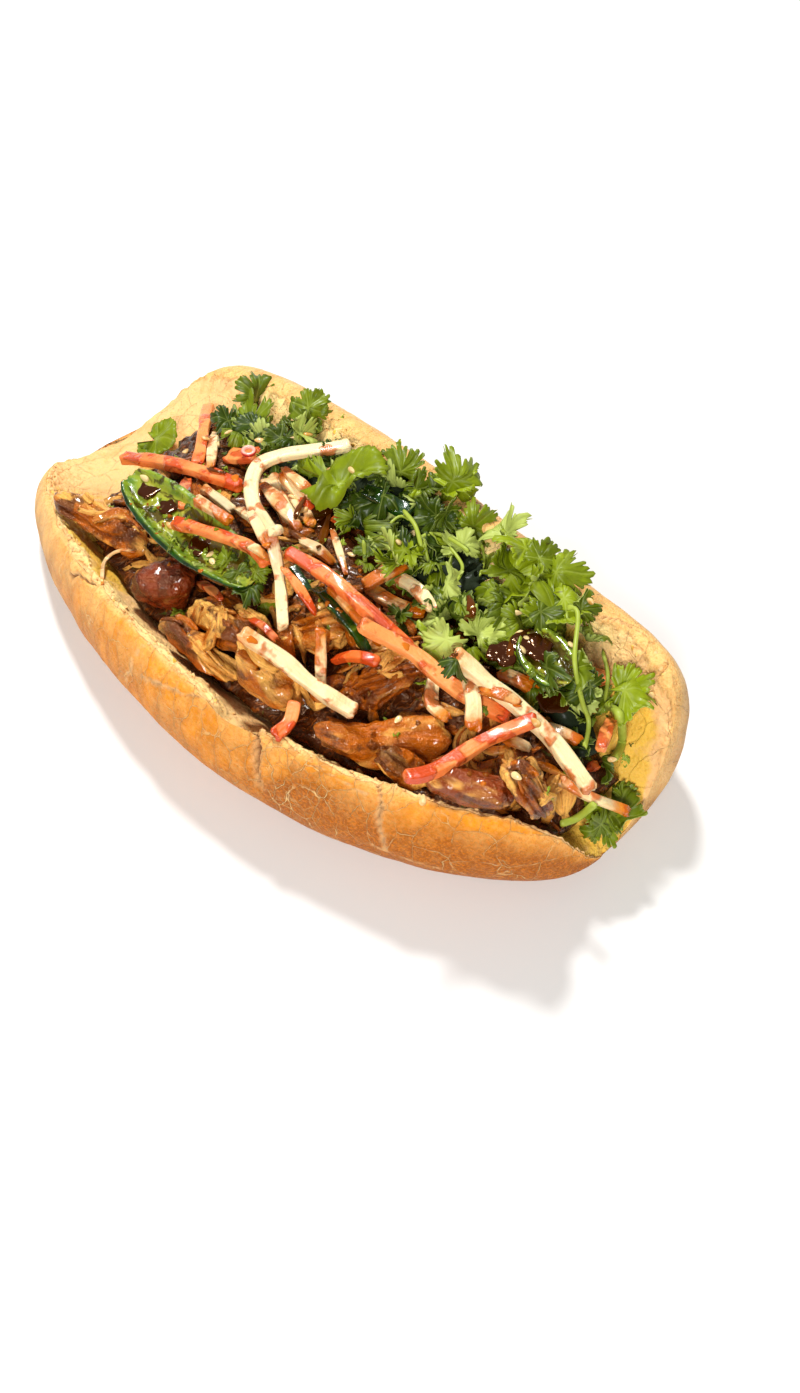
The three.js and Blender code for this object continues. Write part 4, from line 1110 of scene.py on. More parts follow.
def soaked(own, seed, tone):
    """How far sauce has soaked in from the ends of a strip, more from one end than the other."""
    along = own[:, 0]
    first, last = [end * (0.4 + tone) for end in random.Random(seed).sample((0.3, 1.2), 2)]
    return np.maximum(first * ease(along, 8 * MM, 0), last * ease(along.max() - along, 8 * MM, 0))


def make_strip(material, node):
    """A strip along its plan, at the heights of its CAD form's top."""
    run, wide, thick, tone = STRIPS[node]
    seed = seed_of(node) % 97
    plan = plan_path(run)
    own_form = tree_of(node)
    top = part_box(node)[1].z
    heights = [height_of(own_form, x, y, top) - thick * MM / 2 for x, y in plan]
    share = np.linspace(-1, 1, len(plan))
    heights = np.polyval(np.polyfit(share, heights, 4 if len(run) > 6 else 2), share)
    path = np.column_stack([plan, heights])
    cut = (0.6, 0.1 * MM) if node == "daikon_great_curl" else ()     # the curl is rounder and smoother
    points, faces, own = bar_mesh(path, wide * MM, thick * MM, seed, *cut)
    wet = soaked(own, seed, tone) + 0.5 * noise_at(own * [1, 0.4, 0.4], 6 * MM, seed)
    marks = {"grain": own, "wet": wet, "tone": np.full(len(points), tone)}
    return add_piece(node + "_strip", points, faces, material, [node], marks)


# ------------------------------------------------------------------ chilli slices
# Each hollow slice: middle, length and width in mm, heading and lean in degrees.
BOATS = {
    "chilli_big_slice": ((-29, -21), (62, 19), -1, 12),
    "chilli_cup_slice": ((77, 18), (20, 15), -17, 8),
}


def make_boat(settings, material, node):
    """A hollow slice: skin outside, and flesh and pith in the hollow."""
    at, size, heading, lean = BOATS[node]
    points, faces = even_mesh(node, settings.voxel)
    out = normals_of(points, faces)
    back = Matrix.Rotation(-math.radians(lean), 3, "X") @ Matrix.Rotation(-math.radians(heading), 3, "Z")
    middle = np.array([*spot(*at).xy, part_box(node)[1].z])
    own = (points - middle) @ np.array(back).T
    facing = out @ np.array(back).T
    long, wide = (one * MM for one in size)
    girth = np.maximum(1 - 0.97 * np.clip(2 * own[:, 0] / long, -1, 1) ** 2, 0.02) ** 0.4
    across = np.abs(own[:, 1]) / (wide / 2 * girth)
    hollow = ease(facing[:, 2], 0.05, 0.45) * ease(across, 0.96, 0.86)
    pith = hollow * ease(across, 0.78, 0.5)
    ribs = noise_at(own * [0.5, 1, 1], 3.2 * MM, 6)
    points = points + out * ((0.5 * ribs * pith + 0.12 * noise_at(own, 6 * MM, 8)) * MM)[:, None]
    marks = {"grain": own, "flesh": hollow, "pith": np.clip(pith * (0.55 + ribs), 0, 1)}
    return add_piece(node + "_cut", points, faces, material, [node], marks)


def make_chilli_strip(settings, material, node):
    """A flat slice with a little flesh on top."""
    points, faces = even_mesh(node, settings.voxel * 0.8)
    out = normals_of(points, faces)
    flesh = ease(out[:, 2], 0.6, 0.9) * ease(noise_at(points, 9 * MM, 5), 0.1, 0.5)
    points = points + out * (0.15 * MM * noise_at(points, 3 * MM, 7))[:, None]
    marks = {"flesh": flesh * 0.6, "pith": flesh * 0}
    return add_piece(node + "_cut", points, faces, material, [node], marks)


def make_chilli_ring(material):
    """The ring of red chilli, paler near its hole."""
    points, faces = even_mesh("red_chilli_ring", 0.25 * MM)
    middle = (RING_LOW + RING_HIGH) / 2
    reach = np.linalg.norm((points - np.array(middle))[:, :2], axis=1)
    marks = {"pith": ease(reach, 2.6 * MM, 1.8 * MM)}
    return add_piece("red_chilli_slice", points, faces, material, ["red_chilli_ring"], marks)


# ------------------------------------------------------------------ coriander
LOBE_ANGLES = [math.radians(angle) for angle in (0, 60, 118)]
# The teeth on one side of a leaf: angle from its tip, reach, and the reach of the notch after it.
TEETH = [
    (0, 1.0, 0.87), (12, 0.97, 0.82), (24, 0.86, 0.5), (42, 0.8, 0.76), (53, 0.93, 0.82),
    (65, 0.93, 0.78), (77, 0.8, 0.46), (96, 0.7, 0.62), (108, 0.78, 0.66), (121, 0.7, 0.5),
    (138, 0.48, 0.22),
]


def leaf_outline(chance, plain=False, whole=0.0):
    """Angles and reaches round a leaf: toothed lobes with gaps between them, or less where it is whole."""
    line = []
    for side in (-1, 1):
        half = []
        for number, (angle, reach, notch) in enumerate(TEETH):
            after = TEETH[number + 1][0] if number + 1 < len(TEETH) else 165
            tip = angle + (chance.uniform(-3, 3) if number else 0)
            reach = reach * chance.uniform(0.86, 1.1)
            notch = notch * chance.uniform(0.85, 1.05)
            reach += (0.97 - 0.1 * number / len(TEETH) - reach) * whole * 0.8
            notch += (0.92 - 0.1 * number / len(TEETH) - notch) * whole
            half += [(tip - 4, reach * 0.97)] if number and not plain else []
            half += [(tip, reach), ((angle + after) / 2, notch)]
            half += [] if plain else [(tip + 4, reach * 0.96)]
        half += [(172, 0.1)]
        line += [(side * angle, reach) for angle, reach in half if side > 0 or angle > 0]
    line.sort()
    return np.radians([one[0] for one in line]), np.array([one[1] for one in line])


def leaf_mesh(radius, thick, seed, fold=1.0, curl=0.0, count=5, whole=0.0):
    """A thin wavy leaf of count rings, tip ahead: points, faces, flat coordinates and underside."""
    angle, reach = leaf_outline(random.Random(seed), count < 4, whole)
    sides = len(angle)
    flat = [np.zeros((1, 2))]
    for ring in range(1, count + 1):
        out = (ring / count) ** 0.85 * reach
        flat.append(np.stack([out * np.cos(angle), out * np.sin(angle)], 1))
    flat = np.concatenate(flat)
    far = np.linalg.norm(flat, axis=1)
    way = np.abs(np.arctan2(flat[:, 1], flat[:, 0]))
    lobe = np.min([np.abs(way - middle) for middle in LOBE_ANGLES], axis=0)
    trough = -0.06 * far * ease(lobe, 0.3, 0)
    ripple = 0.05 * np.sin(way * 11 + seed) * far ** 3
    rise = fold * (trough + ripple) - curl * far ** 2 * 0.6
    rise = rise + 0.7 * fold * np.array([noise.noise(Vector((*one * 1.1, seed))) for one in flat])
    top = np.column_stack([flat, rise]) * radius
    low = top - [0, 0, thick]
    total = len(flat)
    side = np.arange(sides)
    after = (side + 1) % sides
    faces = [np.stack([np.zeros(sides, int), 1 + side, 1 + after], 1)]
    for ring in range(count - 1):
        inner, outer = 1 + ring * sides, 1 + (ring + 1) * sides
        faces.append(np.stack([inner + side, outer + side, outer + after], 1))
        faces.append(np.stack([inner + side, outer + after, inner + after], 1))
    face = np.concatenate(faces)
    edge = total - sides
    walls = [np.stack([edge + side, edge + total + side, edge + total + after], 1),
             np.stack([edge + side, edge + total + after, edge + after], 1)]
    faces = np.concatenate([face, face[:, ::-1] + total, *walls])
    own = np.column_stack([np.tile(flat, (2, 1)), np.zeros(2 * total)])
    return np.concatenate([top, low]), faces, own, np.repeat([0.0, 1.0], total)


# Each leaf that stands out: centre and radius in mm, heading in degrees, tone from dark to bright (painted
# shade when low, painted light when high).
LEAVES = {
    "herb_notch_leaf": ((-96, 11), 8.5, 20, 0.6), "herb_left_sprig": ((-64, 28), 11, 147, 0.5),
    "herb_left_tip": ((-45, 37), 8.5, 120, 0.4), "herb_broad_leaf": ((-11, 21), 15.5, 40, 0.6),
    "herb_rim_leaf": ((13, 43), 9.5, 77, 0.8), "herb_hanging_leaf": ((26, 16), 10.5, -150, 0.7),
    "herb_crown_leaf": ((51, 31), 14, 43, 0.8), "herb_pale_leaf": ((52, 7), 10, -92, 1.0),
    "herb_stem_leaf": ((70, 29), 11, 170, 0.6), "herb_right_leaf": ((94, 30), 8, 40, 0.7),
    "herb_tip_leaf": ((110, 10), 8, -86, 0.6),
}


# Leaves that are cut little, with how wide they are for their length.
WHOLE_LEAVES = {"herb_broad_leaf": 0.55, "herb_notch_leaf": 1}


def make_leaf(settings, material, node):
    """A leaf over the CAD leaf's own drape."""
    at, radius, heading, tone = LEAVES[node]
    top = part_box(node)[1].z
    drape = tree_of(node)
    seed = seed_of(node)
    whole = 0.92 if node in WHOLE_LEAVES else 0.0
    points, faces, own, under = leaf_mesh(radius * MM * 1.02, settings.leaf, seed, 0.8, whole=whole)
    turn = np.array(Matrix.Rotation(math.radians(heading), 3, "Z"))
    middle = spot(*at)
    points = points * [1, WHOLE_LEAVES.get(node, 1), 1] @ turn.T + [middle.x, middle.y, 0]
    points[:, 2] += [height_of(drape, *point[:2], top) for point in points]
    marks = {"leaf": own, "under": under, "tone": np.full(len(points), tone)}
    return add_piece(node + "_blade", points, faces, material, [node], marks)


# The run of the coriander along the back, by places in mm.
HERB_RUN = [(-58, 24), (-35, 26), (-12, 27), (14, 27), (40, 24), (66, 22), (88, 17), (100, 12)]
HERB_WIDE = 19                  # in mm
HEAP_LEAVES = 210
OFF_VEINS = [0.5, 3, 0]          # a place in a leaf's own plane that no vein reaches
# Leaves that show, by where the camera sees them: column, row, radius in mm, heading of the tip in the
# picture in degrees, tone (painted shade when low, painted light when high), and how far the leaf stands
# over what lies below, in mm.
SEEN_LEAVES = [
    (257, 402, 8.5, 95, 0.7, 3), (229, 422, 5.5, 170, 0.1, 2), (240, 434, 6, 250, 0.6, 1),
    (309, 410, 6, 60, 0.8, 3), (281, 438, 5, 200, 0.3, 1), (303, 437, 6, 30, 0.95, 2),
    (288, 428, 4, 120, 0.5, 1), (383, 496, 7, 200, 0.05, 1), (362, 505, 6, 240, 0.1, 1),
    (401, 474, 8, 100, 0.8, 4), (452, 484, 8.5, 40, 0.85, 4), (425, 494, 6, 60, 0.3, 2),
    (436, 516, 6.5, 210, 0.2, 2), (446, 514, 5, 300, 0.4, 3), (404, 552, 8.5, 185, 0.75, 5),
    (432, 565, 5.5, 280, 0.5, 3), (445, 545, 5, 20, 0.9, 2), (461, 548, 6, 80, 0.95, 3),
    (473, 528, 7, 60, 0.9, 3), (502, 536, 8, 75, 1.0, 4), (524, 550, 8.5, 95, 0.9, 5),
    (538, 560, 5.5, 60, 0.8, 4), (486, 566, 6, 150, 0.7, 3), (507, 572, 8, 110, 0.8, 4),
    (554, 574, 8.5, 10, 0.9, 5), (530, 584, 8, 200, 0.7, 4), (562, 600, 8, 340, 0.85, 5),
    (494, 592, 7, 240, 0.6, 3), (503, 606, 6.5, 280, 0.55, 3), (440, 620, 7, 178, 1.0, 4),
    (446, 640, 6.5, 250, 1.0, 4), (477, 634, 7, 60, 0.95, 3), (468, 650, 5, 240, 0.8, 3),
    (506, 642, 7, 262, 0.6, 4), (518, 621, 7, 215, 0.8, 4), (540, 612, 6.5, 320, 0.4, 2),
    (562, 630, 7, 300, 0.25, 2), (589, 630, 6, 330, 0.35, 3), (580, 612, 5, 20, 0.5, 3),
    (622, 690, 7.5, 30, 0.85, 5), (607, 697, 4.5, 200, 0.6, 2), (590, 687, 6, 150, 0.15, 1),
    (611, 813, 8, 40, 0.7, 3), (600, 824, 5.5, 220, 0.5, 2), (621, 797, 4, 70, 0.8, 2),
    (186, 612, 4.5, 270, 0.75, 1), (268, 612, 4, 100, 0.8, 1), (456, 660, 5, 300, 0.15, 1),
    (415, 622, 5.5, 190, 0.2, 1), (400, 615, 4.5, 240, 0.4, 1), (604, 762, 5, 260, 0.2, 1),
    (368, 545, 4, 200, 0.35, 1), (352, 520, 4.5, 160, 0.9, 1), (366, 566, 3.5, 280, 0.5, 1),
    (238, 573, 4.5, 300, 0.35, 1), (250, 588, 4.5, 250, 0.2, 1), (256, 572, 3.5, 20, 0.5, 1),
    (228, 562, 3.5, 120, 0.6, 1), (546, 668, 6, 300, 0.3, 2), (520, 668, 5, 230, 0.5, 1),
    (575, 668, 6, 330, 0.45, 2), (478, 604, 6, 100, 0.8, 3), (460, 604, 5, 30, 0.6, 2),
]
SEEN_SCALE = 1.2                # how much larger they are made than listed
# Stems, by the pixels that they run through, with their width in mm.
STEMS = [
    ([(566, 607), (577, 614), (574, 660), (581, 700), (588, 722), (584, 748)], 1.3),
    ([(404, 512), (415, 526), (421, 546)], 1.3), ([(390, 524), (400, 517), (410, 520)], 0.9),
    ([(424, 548), (423, 537), (440, 535), (462, 547), (468, 553)], 1.2),
    ([(424, 540), (428, 560), (436, 570)], 1.0), ([(450, 548), (462, 566), (458, 580)], 1.0),
    ([(602, 652), (607, 676), (604, 700)], 1.1), ([(364, 542), (365, 560), (366, 572)], 1.3),
    ([(560, 823), (577, 817), (594, 803)], 2.2), ([(480, 575), (484, 560), (481, 545)], 0.9),
    ([(607, 705), (619, 716), (621, 742), (612, 760)], 2.4),
]


def picture_heading(degrees, normal):
    """The direction on a surface that points along a heading in the picture."""
    angle = math.radians(degrees)
    ahead = CAMERA_RIGHT * math.cos(angle) + CAMERA_UP * math.sin(angle)
    ahead = ahead - normal * ahead.dot(normal)
    return math.atan2(ahead.y, ahead.x)


def make_herb_heap(settings, material, chance):
    """The heap of coriander: its core, painted dark as the shade inside the heap, and leaves lying on it
    every way.
    """
    points, faces = even_mesh("herb_heap", 0.9 * MM, 2)
    out = normals_of(points, faces)
    points = points + out * (1.3 * MM * noise_at(points, 4 * MM, 6))[:, None]
    heap = Heap()
    heap.add(points, faces, leaf=points * 0 + OFF_VEINS, under=0.0, tone=0.0, core=1.0)
    core = Ground()
    core.add(points, faces)
    run = np.array(HERB_RUN, float)
    for number in range(HEAP_LEAVES):
        place = chance.random() * (len(run) - 1.001)
        index = int(place)
        x, y = run[index] + (run[index + 1] - run[index]) * (place - index)
        spread = HERB_WIDE / 2 * MM * math.sqrt(chance.random()) * chance.choice((-1, 1))
        found = core.at(x * MM + SHIFT.x, y * MM + SHIFT.y + spread)
        if found is None:
            continue
        place, normal = found[:2]
        radius = chance.uniform(4.5, 9) * MM
        curl = chance.uniform(-0.5, 0.9)
        count = 4 if radius > 6.2 * MM else 3
        leaf, leaf_faces, own, under = leaf_mesh(radius, settings.leaf, number, 1.2, curl, count)
        aim = shaken(normal, chance, 0.8)
        leaf = turned(leaf, place + normal * 0.8 * MM, aim, chance.uniform(0, 2 * math.pi))
        if chance.random() < 0.25:
            under = 1 - under
        heap.add(leaf, leaf_faces, leaf=own, under=under, tone=0.8 * chance.random() ** 1.6, core=0.0)
    return heap.piece("coriander_heap", material, "herb", ["herb_heap"])


def make_seen_leaves(settings, material, chance):
    """The leaves that stand out of the heap towards the camera."""
    heap = Heap()
    for number, (column, row, radius, heading, tone, lift) in enumerate(SEEN_LEAVES):
        place, normal = ground.seen(column, row)[:2]
        aim = (normal * 0.4 + CAMERA_BACK * 0.6 + Vector((0, 0, 0.4))).normalized()
        aim = shaken(aim, chance, 0.75).normalized()
        curl = chance.uniform(-0.4, 0.9)
        leaf, faces, own, under = leaf_mesh(radius * SEEN_SCALE * MM, settings.leaf, number + 300, 1.1, curl)
        leaf = turned(leaf, place + CAMERA_BACK * lift * MM, aim, picture_heading(heading, aim))
        # the brightest leaves also get the pale underside colour, as painted light
        if tone > 0.94:
            under = 1 - under * 0.5
        heap.add(leaf, faces, leaf=own, under=under, tone=tone * chance.uniform(0.5, 0.95))
    return heap.piece("coriander_leaves", material, "herb")


def seen_path(pixels, step, lift):
    """A path through what the camera sees at some pixels, a little over it."""
    places = []
    for column, row in pixels:
        place = ground.seen(column, row)[0]
        places.append(np.array(place + CAMERA_BACK * lift))
    count = len(places) - 1
    return even_path(along_curve(places, np.linspace(0, count, 60 * count)), step, 6)


def make_stems(material):
    """Bent stems between the leaves."""
    heap = Heap()
    for number, (pixels, wide) in enumerate(STEMS):
        path = seen_path(pixels, 0.8 * MM, 1.5 * MM)
        points, faces, own = bar_mesh(path, wide * MM, wide * 0.9 * MM, number, 1.0, 0.08 * MM)
        heap.add(points, faces, leaf=own * 0 + OFF_VEINS, under=0.4, tone=0.9)
    return heap.piece("coriander_stems", material, "herb")


# ------------------------------------------------------------------ loose bits
# Short strips that lie among the larger ones: their pixels, then width in mm and tone.
CARROT_BITS = [
    ((188, 480), (183, 508), 4.0, 0.45), ((283, 568), (316, 614), 3.0, 0.4),
    ((329, 519), (350, 532), 3.4, 0.6), ((597, 766), (589, 770), 3.4, 0.5),
    ((452, 572), (462, 592), 3.0, 0.6), ((252, 620), (276, 640), 3.0, 0.5),
    ((300, 500), (318, 517), 3.0, 0.8), ((199, 583), (222, 600), 3.0, 0.5),
]
DAIKON_BITS = [
    ((237, 509), (262, 528), 3.2, 0.3), ((410, 571), (448, 598), 3.6, 0.2),
    ((440, 590), (458, 612), 2.6, 0.3), ((301, 541), (334, 564), 4.0, 0.35),
    ((216, 433), (211, 467), 3.4, 0.25), ((505, 741), (529, 750), 4.2, 0.3),
    ((331, 527), (346, 575), 2.4, 0.35), ((103, 585), (108, 566), (122, 553), (136, 552), 1.2, 0.4),
    ((247, 545), (268, 560), 3.0, 0.3),
    ((389, 560), (430, 590), 3.4, 0.45), ((250, 512), (268, 548), 3.2, 0.25),
    ((480, 690), (520, 703), 3.6, 0.5), ((378, 566), (405, 572), 3.4, 0.4),
    ((262, 484), (281, 508), (300, 530), 4.4, 0.4), ((272, 476), (294, 500), (312, 526), 4.6, 0.3),
    ((284, 470), (304, 490), (324, 512), 3.8, 0.45), ((410, 556), (452, 584), 4.0, 0.3),
]


def make_bits(name, bits, material, slot):
    """Short strips that taper to both ends."""
    heap = Heap()
    for number, (*pixels, wide, tone) in enumerate(bits):
        path = seen_path(pixels, 0.8 * MM, 0.7 * MM)
        path[:, 2] += (3.0 if wide < 2 else 1.2) * MM * np.sin(np.linspace(0, math.pi, len(path)))
        points, faces, own = bar_mesh(path, wide * MM, wide * 0.55 * MM, number + 40,
                                      ragged=min(0.28, 0.07 * wide) * MM, taper=0.3)
        heap.add(points, faces, grain=own, wet=soaked(own, number, tone), tone=tone)
    return heap.piece(name, material, slot)


HERB_BITS = 310
HERB_BITS_OFF_STRIPS = 0.9      # the share of those over a strip that is left out


def make_herb_bits(settings, material, chance):
    """Torn bits of leaf over the filling and in the hollow of the big slice of chilli."""
    heap = Heap()
    for number in range(HERB_BITS):
        if number % 6 == 0:          # in the hollow of the slice
            place = spot(chance.gauss(-22, 14), chance.gauss(-21, 4))
        else:
            place = spot(chance.uniform(-75, 105), chance.gauss(14, 14))
        hit = ground.at(place.x, place.y)
        if hit is None or hit[0].z < 8 * MM:
            continue
        if on_strip(hit) and chance.random() < HERB_BITS_OFF_STRIPS:
            continue
        radius = chance.uniform(0.9, 3.0) * MM
        leaf, faces, own, under = leaf_mesh(radius, settings.leaf * 0.8, number, 1.5, chance.random(), 2)
        leaf = leaf * [1, chance.uniform(0.35, 0.9), 1]
        aim = shaken(hit[1], chance, 0.5)
        leaf = turned(leaf, hit[0] + hit[1] * 0.4 * MM, aim, chance.uniform(0, 2 * math.pi))
        heap.add(leaf, faces, leaf=own, under=under, tone=chance.uniform(0.1, 1.0))
    return heap.piece("coriander_bits", material, "herb", lies=False)


# ------------------------------------------------------------------ sauce
# Drizzles, by the pixels that they run through and their width in mm.
DRIZZLES = [
    ([(469, 596), (471, 612), (463, 632), (454, 655)], 3.2), ([(205, 462), (212, 470), (226, 473)], 2.0),
    ([(185, 478), (190, 492)], 2.2), ([(330, 512), (322, 540), (318, 548)], 2.6),
    ([(305, 497), (296, 516), (302, 522)], 2.0), ([(512, 636), (510, 655), (513, 668)], 2.2),
]
# Level pools in hollows: column, row, radius in mm and how deep they stand, in mm.
POOLS = [
    (150, 490, 3.6, 0.3), (168, 506, 3.0, 0.3), (205, 545, 4.0, 0.3), (532, 646, 5.5, 1.2),
    (556, 700, 5, 1.0), (318, 512, 4.5, 1.2), (327, 524, 4, 1.0), (500, 655, 4, 1.0),
]
DROPS = 160
DROPS_TO = 34 * MM              # how far to the front and back of the middle they lie
LOW_FILLING = 10 * MM           # nothing small is dropped on what lies lower
# Pixels where a bead of glaze sits on a strip.
GLAZED = [(312, 552), (406, 646), (252, 640), (517, 706), (267, 544), (235, 478)]


def drop_mesh(radius, high, seed):
    """A bead of sauce: a low dome with a closed foot."""
    angle = around(14)
    uneven = 1 + 0.15 * np.sin(angle * 2 + seed) + 0.15 * np.sin(angle * 3 + seed * 2)
    rings = []
    for rise in (-0.3, 0.1, 0.5, 0.85):
        reach = math.sqrt(1 - max(rise, 0) ** 2) * uneven
        rings.append(np.stack([reach * np.cos(angle) * radius, reach * np.sin(angle) * radius * 0.8,
                               np.full(len(angle), rise * high)], 1))
    points, faces = loft(rings, (0, 0, -0.4 * high), (0, 0, high))
    return points, outward(points, faces)


def pool_mesh(place, radius, deep, seed):
    """A level pool, a little higher where it clings to the edge."""
    angle = around(40)
    wave = [1 + 0.5 * noise.noise(Vector((math.cos(turn), math.sin(turn), seed)) * 1.3) for turn in angle]
    rings = []
    for share, rise in ((0.9, -1.2), (1.0, -0.5), (0.97, -0.1), (0.9, 0.05), (0.6, 0), (0.3, 0)):
        reach = np.array(wave) * radius * share
        ring = [reach * np.cos(angle), reach * np.sin(angle), np.full(len(angle), rise * MM)]
        rings.append(np.stack(ring, 1))
    points, faces = loft(rings, (0, 0, -1.2 * MM), (0, 0, 0))
    points[:, 2] += noise_at(points, 4 * MM, seed) * 0.12 * MM
    return points + np.array(place) + [0, 0, deep * MM], outward(points, faces)


def make_sauce(material, chance):
    """Pools, drizzles, beads of glaze on the strips and scattered drops."""
    heap = Heap()
    for number, (column, row, radius, deep) in enumerate(POOLS):
        heap.add(*pool_mesh(ground.seen(column, row)[0], radius * MM, deep, number), tone=0.0)
    for number, (pixels, wide) in enumerate(DRIZZLES):
        path = seen_path(pixels, 0.6 * MM, 0.6 * MM)
        points, faces = bar_mesh(path, wide * MM, wide * 0.4 * MM, number + 70,
                                 1.0, 0.3 * MM, 0.3, 0.5)[:2]
        heap.add(points, faces, tone=0.12)
    for column, row in GLAZED:
        place, normal = ground.seen(column, row)[:2]
        radius = chance.uniform(1.1, 1.7) * MM
        points, faces = drop_mesh(radius, radius * 0.2, column)
        heap.add(turned(points, place, normal, chance.uniform(0, 6)), faces, tone=1.0)
    for number in range(DROPS):
        place = spot(chance.uniform(-85, 104), chance.gauss(-4, 16))
        hit = ground.at(place.x, place.y)
        if hit is None or hit[0].z < LOW_FILLING or abs(place.y) > DROPS_TO:
            continue
        if hit[2].startswith(("coriander", "herb", "crusty")) or on_strip(hit):
            continue
        radius = chance.uniform(0.4, 1.1) * MM
        points, faces = drop_mesh(radius, radius * chance.uniform(0.4, 0.7), number)
        heap.add(turned(points, hit[0], hit[1], chance.uniform(0, 6)), faces, tone=chance.uniform(0.2, 0.8))
    return heap.piece("sauce", material, "filling", lies=False)


# ------------------------------------------------------------------ sesame seeds
# Pixels of the camera's picture where a seed lies.
SEED_PIXELS = [
    (145, 478), (170, 526), (211, 555), (109, 506), (267, 508), (312, 551), (398, 720), (423, 800),
    (360, 772), (413, 535), (591, 601), (650, 696), (612, 759), (570, 645), (517, 612),
    (518, 634), (527, 640), (534, 647), (522, 650),
]
LOOSE_SEEDS = 26


def seed_mesh(long):
    """A flat drop: a seed with its point ahead."""
    angle = around(10)
    rings = []
    for along in np.linspace(-0.92, 0.92, 8):
        girth = math.sqrt(1 - along ** 2) * (1 - 0.28 * along)
        ring = [np.full(len(angle), along * 0.5), 0.31 * girth * np.cos(angle), 0.17 * girth * np.sin(angle)]
        rings.append(np.stack(ring, 1) * long)
    points, faces = loft(rings, (-0.5 * long, 0, 0), (0.5 * long, 0, 0))
    return points, outward(points, faces)


def make_seeds(settings, material, chance):
    """Seeds that lie flat: some in set places, the rest scattered."""
    heap = Heap()
    found = [ground.seen(*pixel) for pixel in SEED_PIXELS]
    while len(found) < len(SEED_PIXELS) + LOOSE_SEEDS:
        place = spot(chance.uniform(-85, 100), chance.uniform(-30, 32))
        found.append(ground.at(place.x, place.y))
    for hit in found:
        points, faces = seed_mesh(settings.seed * chance.uniform(0.85, 1.1))
        place = hit[0] + hit[1] * 0.35 * MM
        points = turned(points, place, hit[1], chance.uniform(0, 2 * math.pi), chance.uniform(-0.3, 0.3))
        heap.add(points, faces, tone=chance.uniform(-0.5, 0.8))
    return heap.piece("sesame_seeds", material, "filling", lies=False)


# ------------------------------------------------------------------ crumbs
RIM_CRUMBS = 240
RIM_OF = {"front": 7.7, "back": 8.0}     # the section step where the torn rim lies


def crumb_mesh(size, chance):
    """A small torn flake with uneven corners."""
    angle = around(7)
    rings = []
    for rise, reach in ((-0.2, 0.8), (0.0, 1.0), (0.14, 0.6)):
        reach = reach * np.array([chance.uniform(0.6, 1.2) for corner in angle])
        ring = [reach * np.cos(angle), reach * 0.7 * np.sin(angle), np.full(len(angle), rise)]
        rings.append(np.stack(ring, 1) * size)
    points, faces = loft(rings, (0, 0, -0.3 * size), (0, 0, 0.18 * size))
    return points, outward(points, faces)


def make_crumbs(material, chance):
    """Crumbs and flakes of crust along the torn rim."""
    heap = Heap()
    for number in range(RIM_CRUMBS):
        half = "front" if number % 3 else "back"
        step = RIM_OF[half] + chance.gauss(0, 0.35)
        share = chance.uniform(-0.93, 0.93)
        place = roll_skin(half, np.array([share]), np.array([step]))[0, 0] + np.array(SHIFT)
        hit = ground.at(*place[:2])
        if hit is None or hit[2] != "crusty_roll":
            continue
        points, faces = crumb_mesh(chance.uniform(0.4, 1.3) * MM, chance)
        aim = shaken(hit[1], chance, 0.6)
        points = turned(points, hit[0], aim, chance.uniform(0, 2 * math.pi))
        heap.add(points, faces, crumb=1.0, butter=chance.uniform(0, 0.5))
    return heap.piece("bread_crumbs", material, "crust", lies=False)


# ------------------------------------------------------------------ stage
FLOOR_REACH = 1.5
# Each light: its setting, its size and its place from the target.
LIGHTS = {"key_light": ("key", 0.14, (-0.35, 0.25, 0.75)), "fill_light": ("fill", 0.24, (0.42, -0.55, 0.6))}


def make_light(name, power, size, place):
    """A round light that faces the target."""
    light = bpy.data.lights.new(name, "AREA")
    light.energy = power
    light.shape = "DISK"
    light.size = size
    lamp = bpy.data.objects.new(name, light)
    bpy.context.scene.collection.objects.link(lamp)
    lamp.location = place
    lamp.rotation_euler = (Vector(place) - TARGET_PLACE).to_track_quat("Z", "Y").to_euler()


def make_stage(settings):
    """The floor, the even light around, both lights and the camera."""
    scene = bpy.context.scene
    scene.view_settings.view_transform = "Standard"
    scene.world = bpy.data.worlds.new("studio")
    scene.world.use_nodes = True
    sky = scene.world.node_tree.nodes["Background"]
    sky.inputs["Color"].default_value = (1, 1, 1, 1)
    sky.inputs["Strength"].default_value = settings.sky
    finish = Finish("floor", roughness=0.6)
    material = finish.dress(settings.floor)
    points = [(x, y, 0) for x in (-FLOOR_REACH, FLOOR_REACH) for y in (-FLOOR_REACH, FLOOR_REACH)]
    mesh = bpy.data.meshes.new("floor")
    mesh.from_pydata(points, [], [(0, 2, 3, 1)])
    mesh.materials.append(material)
    floor = bpy.data.objects.new("floor", mesh)
    scene.collection.objects.link(floor)
    for name, (power, size, place) in LIGHTS.items():
        make_light(name, getattr(settings, power), size, TARGET_PLACE + Vector(place))
    camera = bpy.data.cameras.new("camera")
    camera.lens = FOCAL_PIXELS / PICTURE[1] * SENSOR
    camera.sensor_width = SENSOR
    camera.clip_start = 0.01
    viewer = bpy.data.objects.new("camera", camera)
    scene.collection.objects.link(viewer)
    viewer.matrix_world = Matrix.Translation(CAMERA_PLACE) @ Matrix(
        (CAMERA_RIGHT, CAMERA_UP, CAMERA_BACK)).transposed().to_4x4()
    scene.camera = viewer


# ------------------------------------------------------------------ operators
class BANHMI_OT_stage(bpy.types.Operator):
    """Makes the floor, the light and the camera"""

    bl_idname = "banh_mi.stage"
    bl_label = "Stage"

    def execute(self, context):
        make_stage(context.scene.banh_mi_stage)
        return {"FINISHED"}


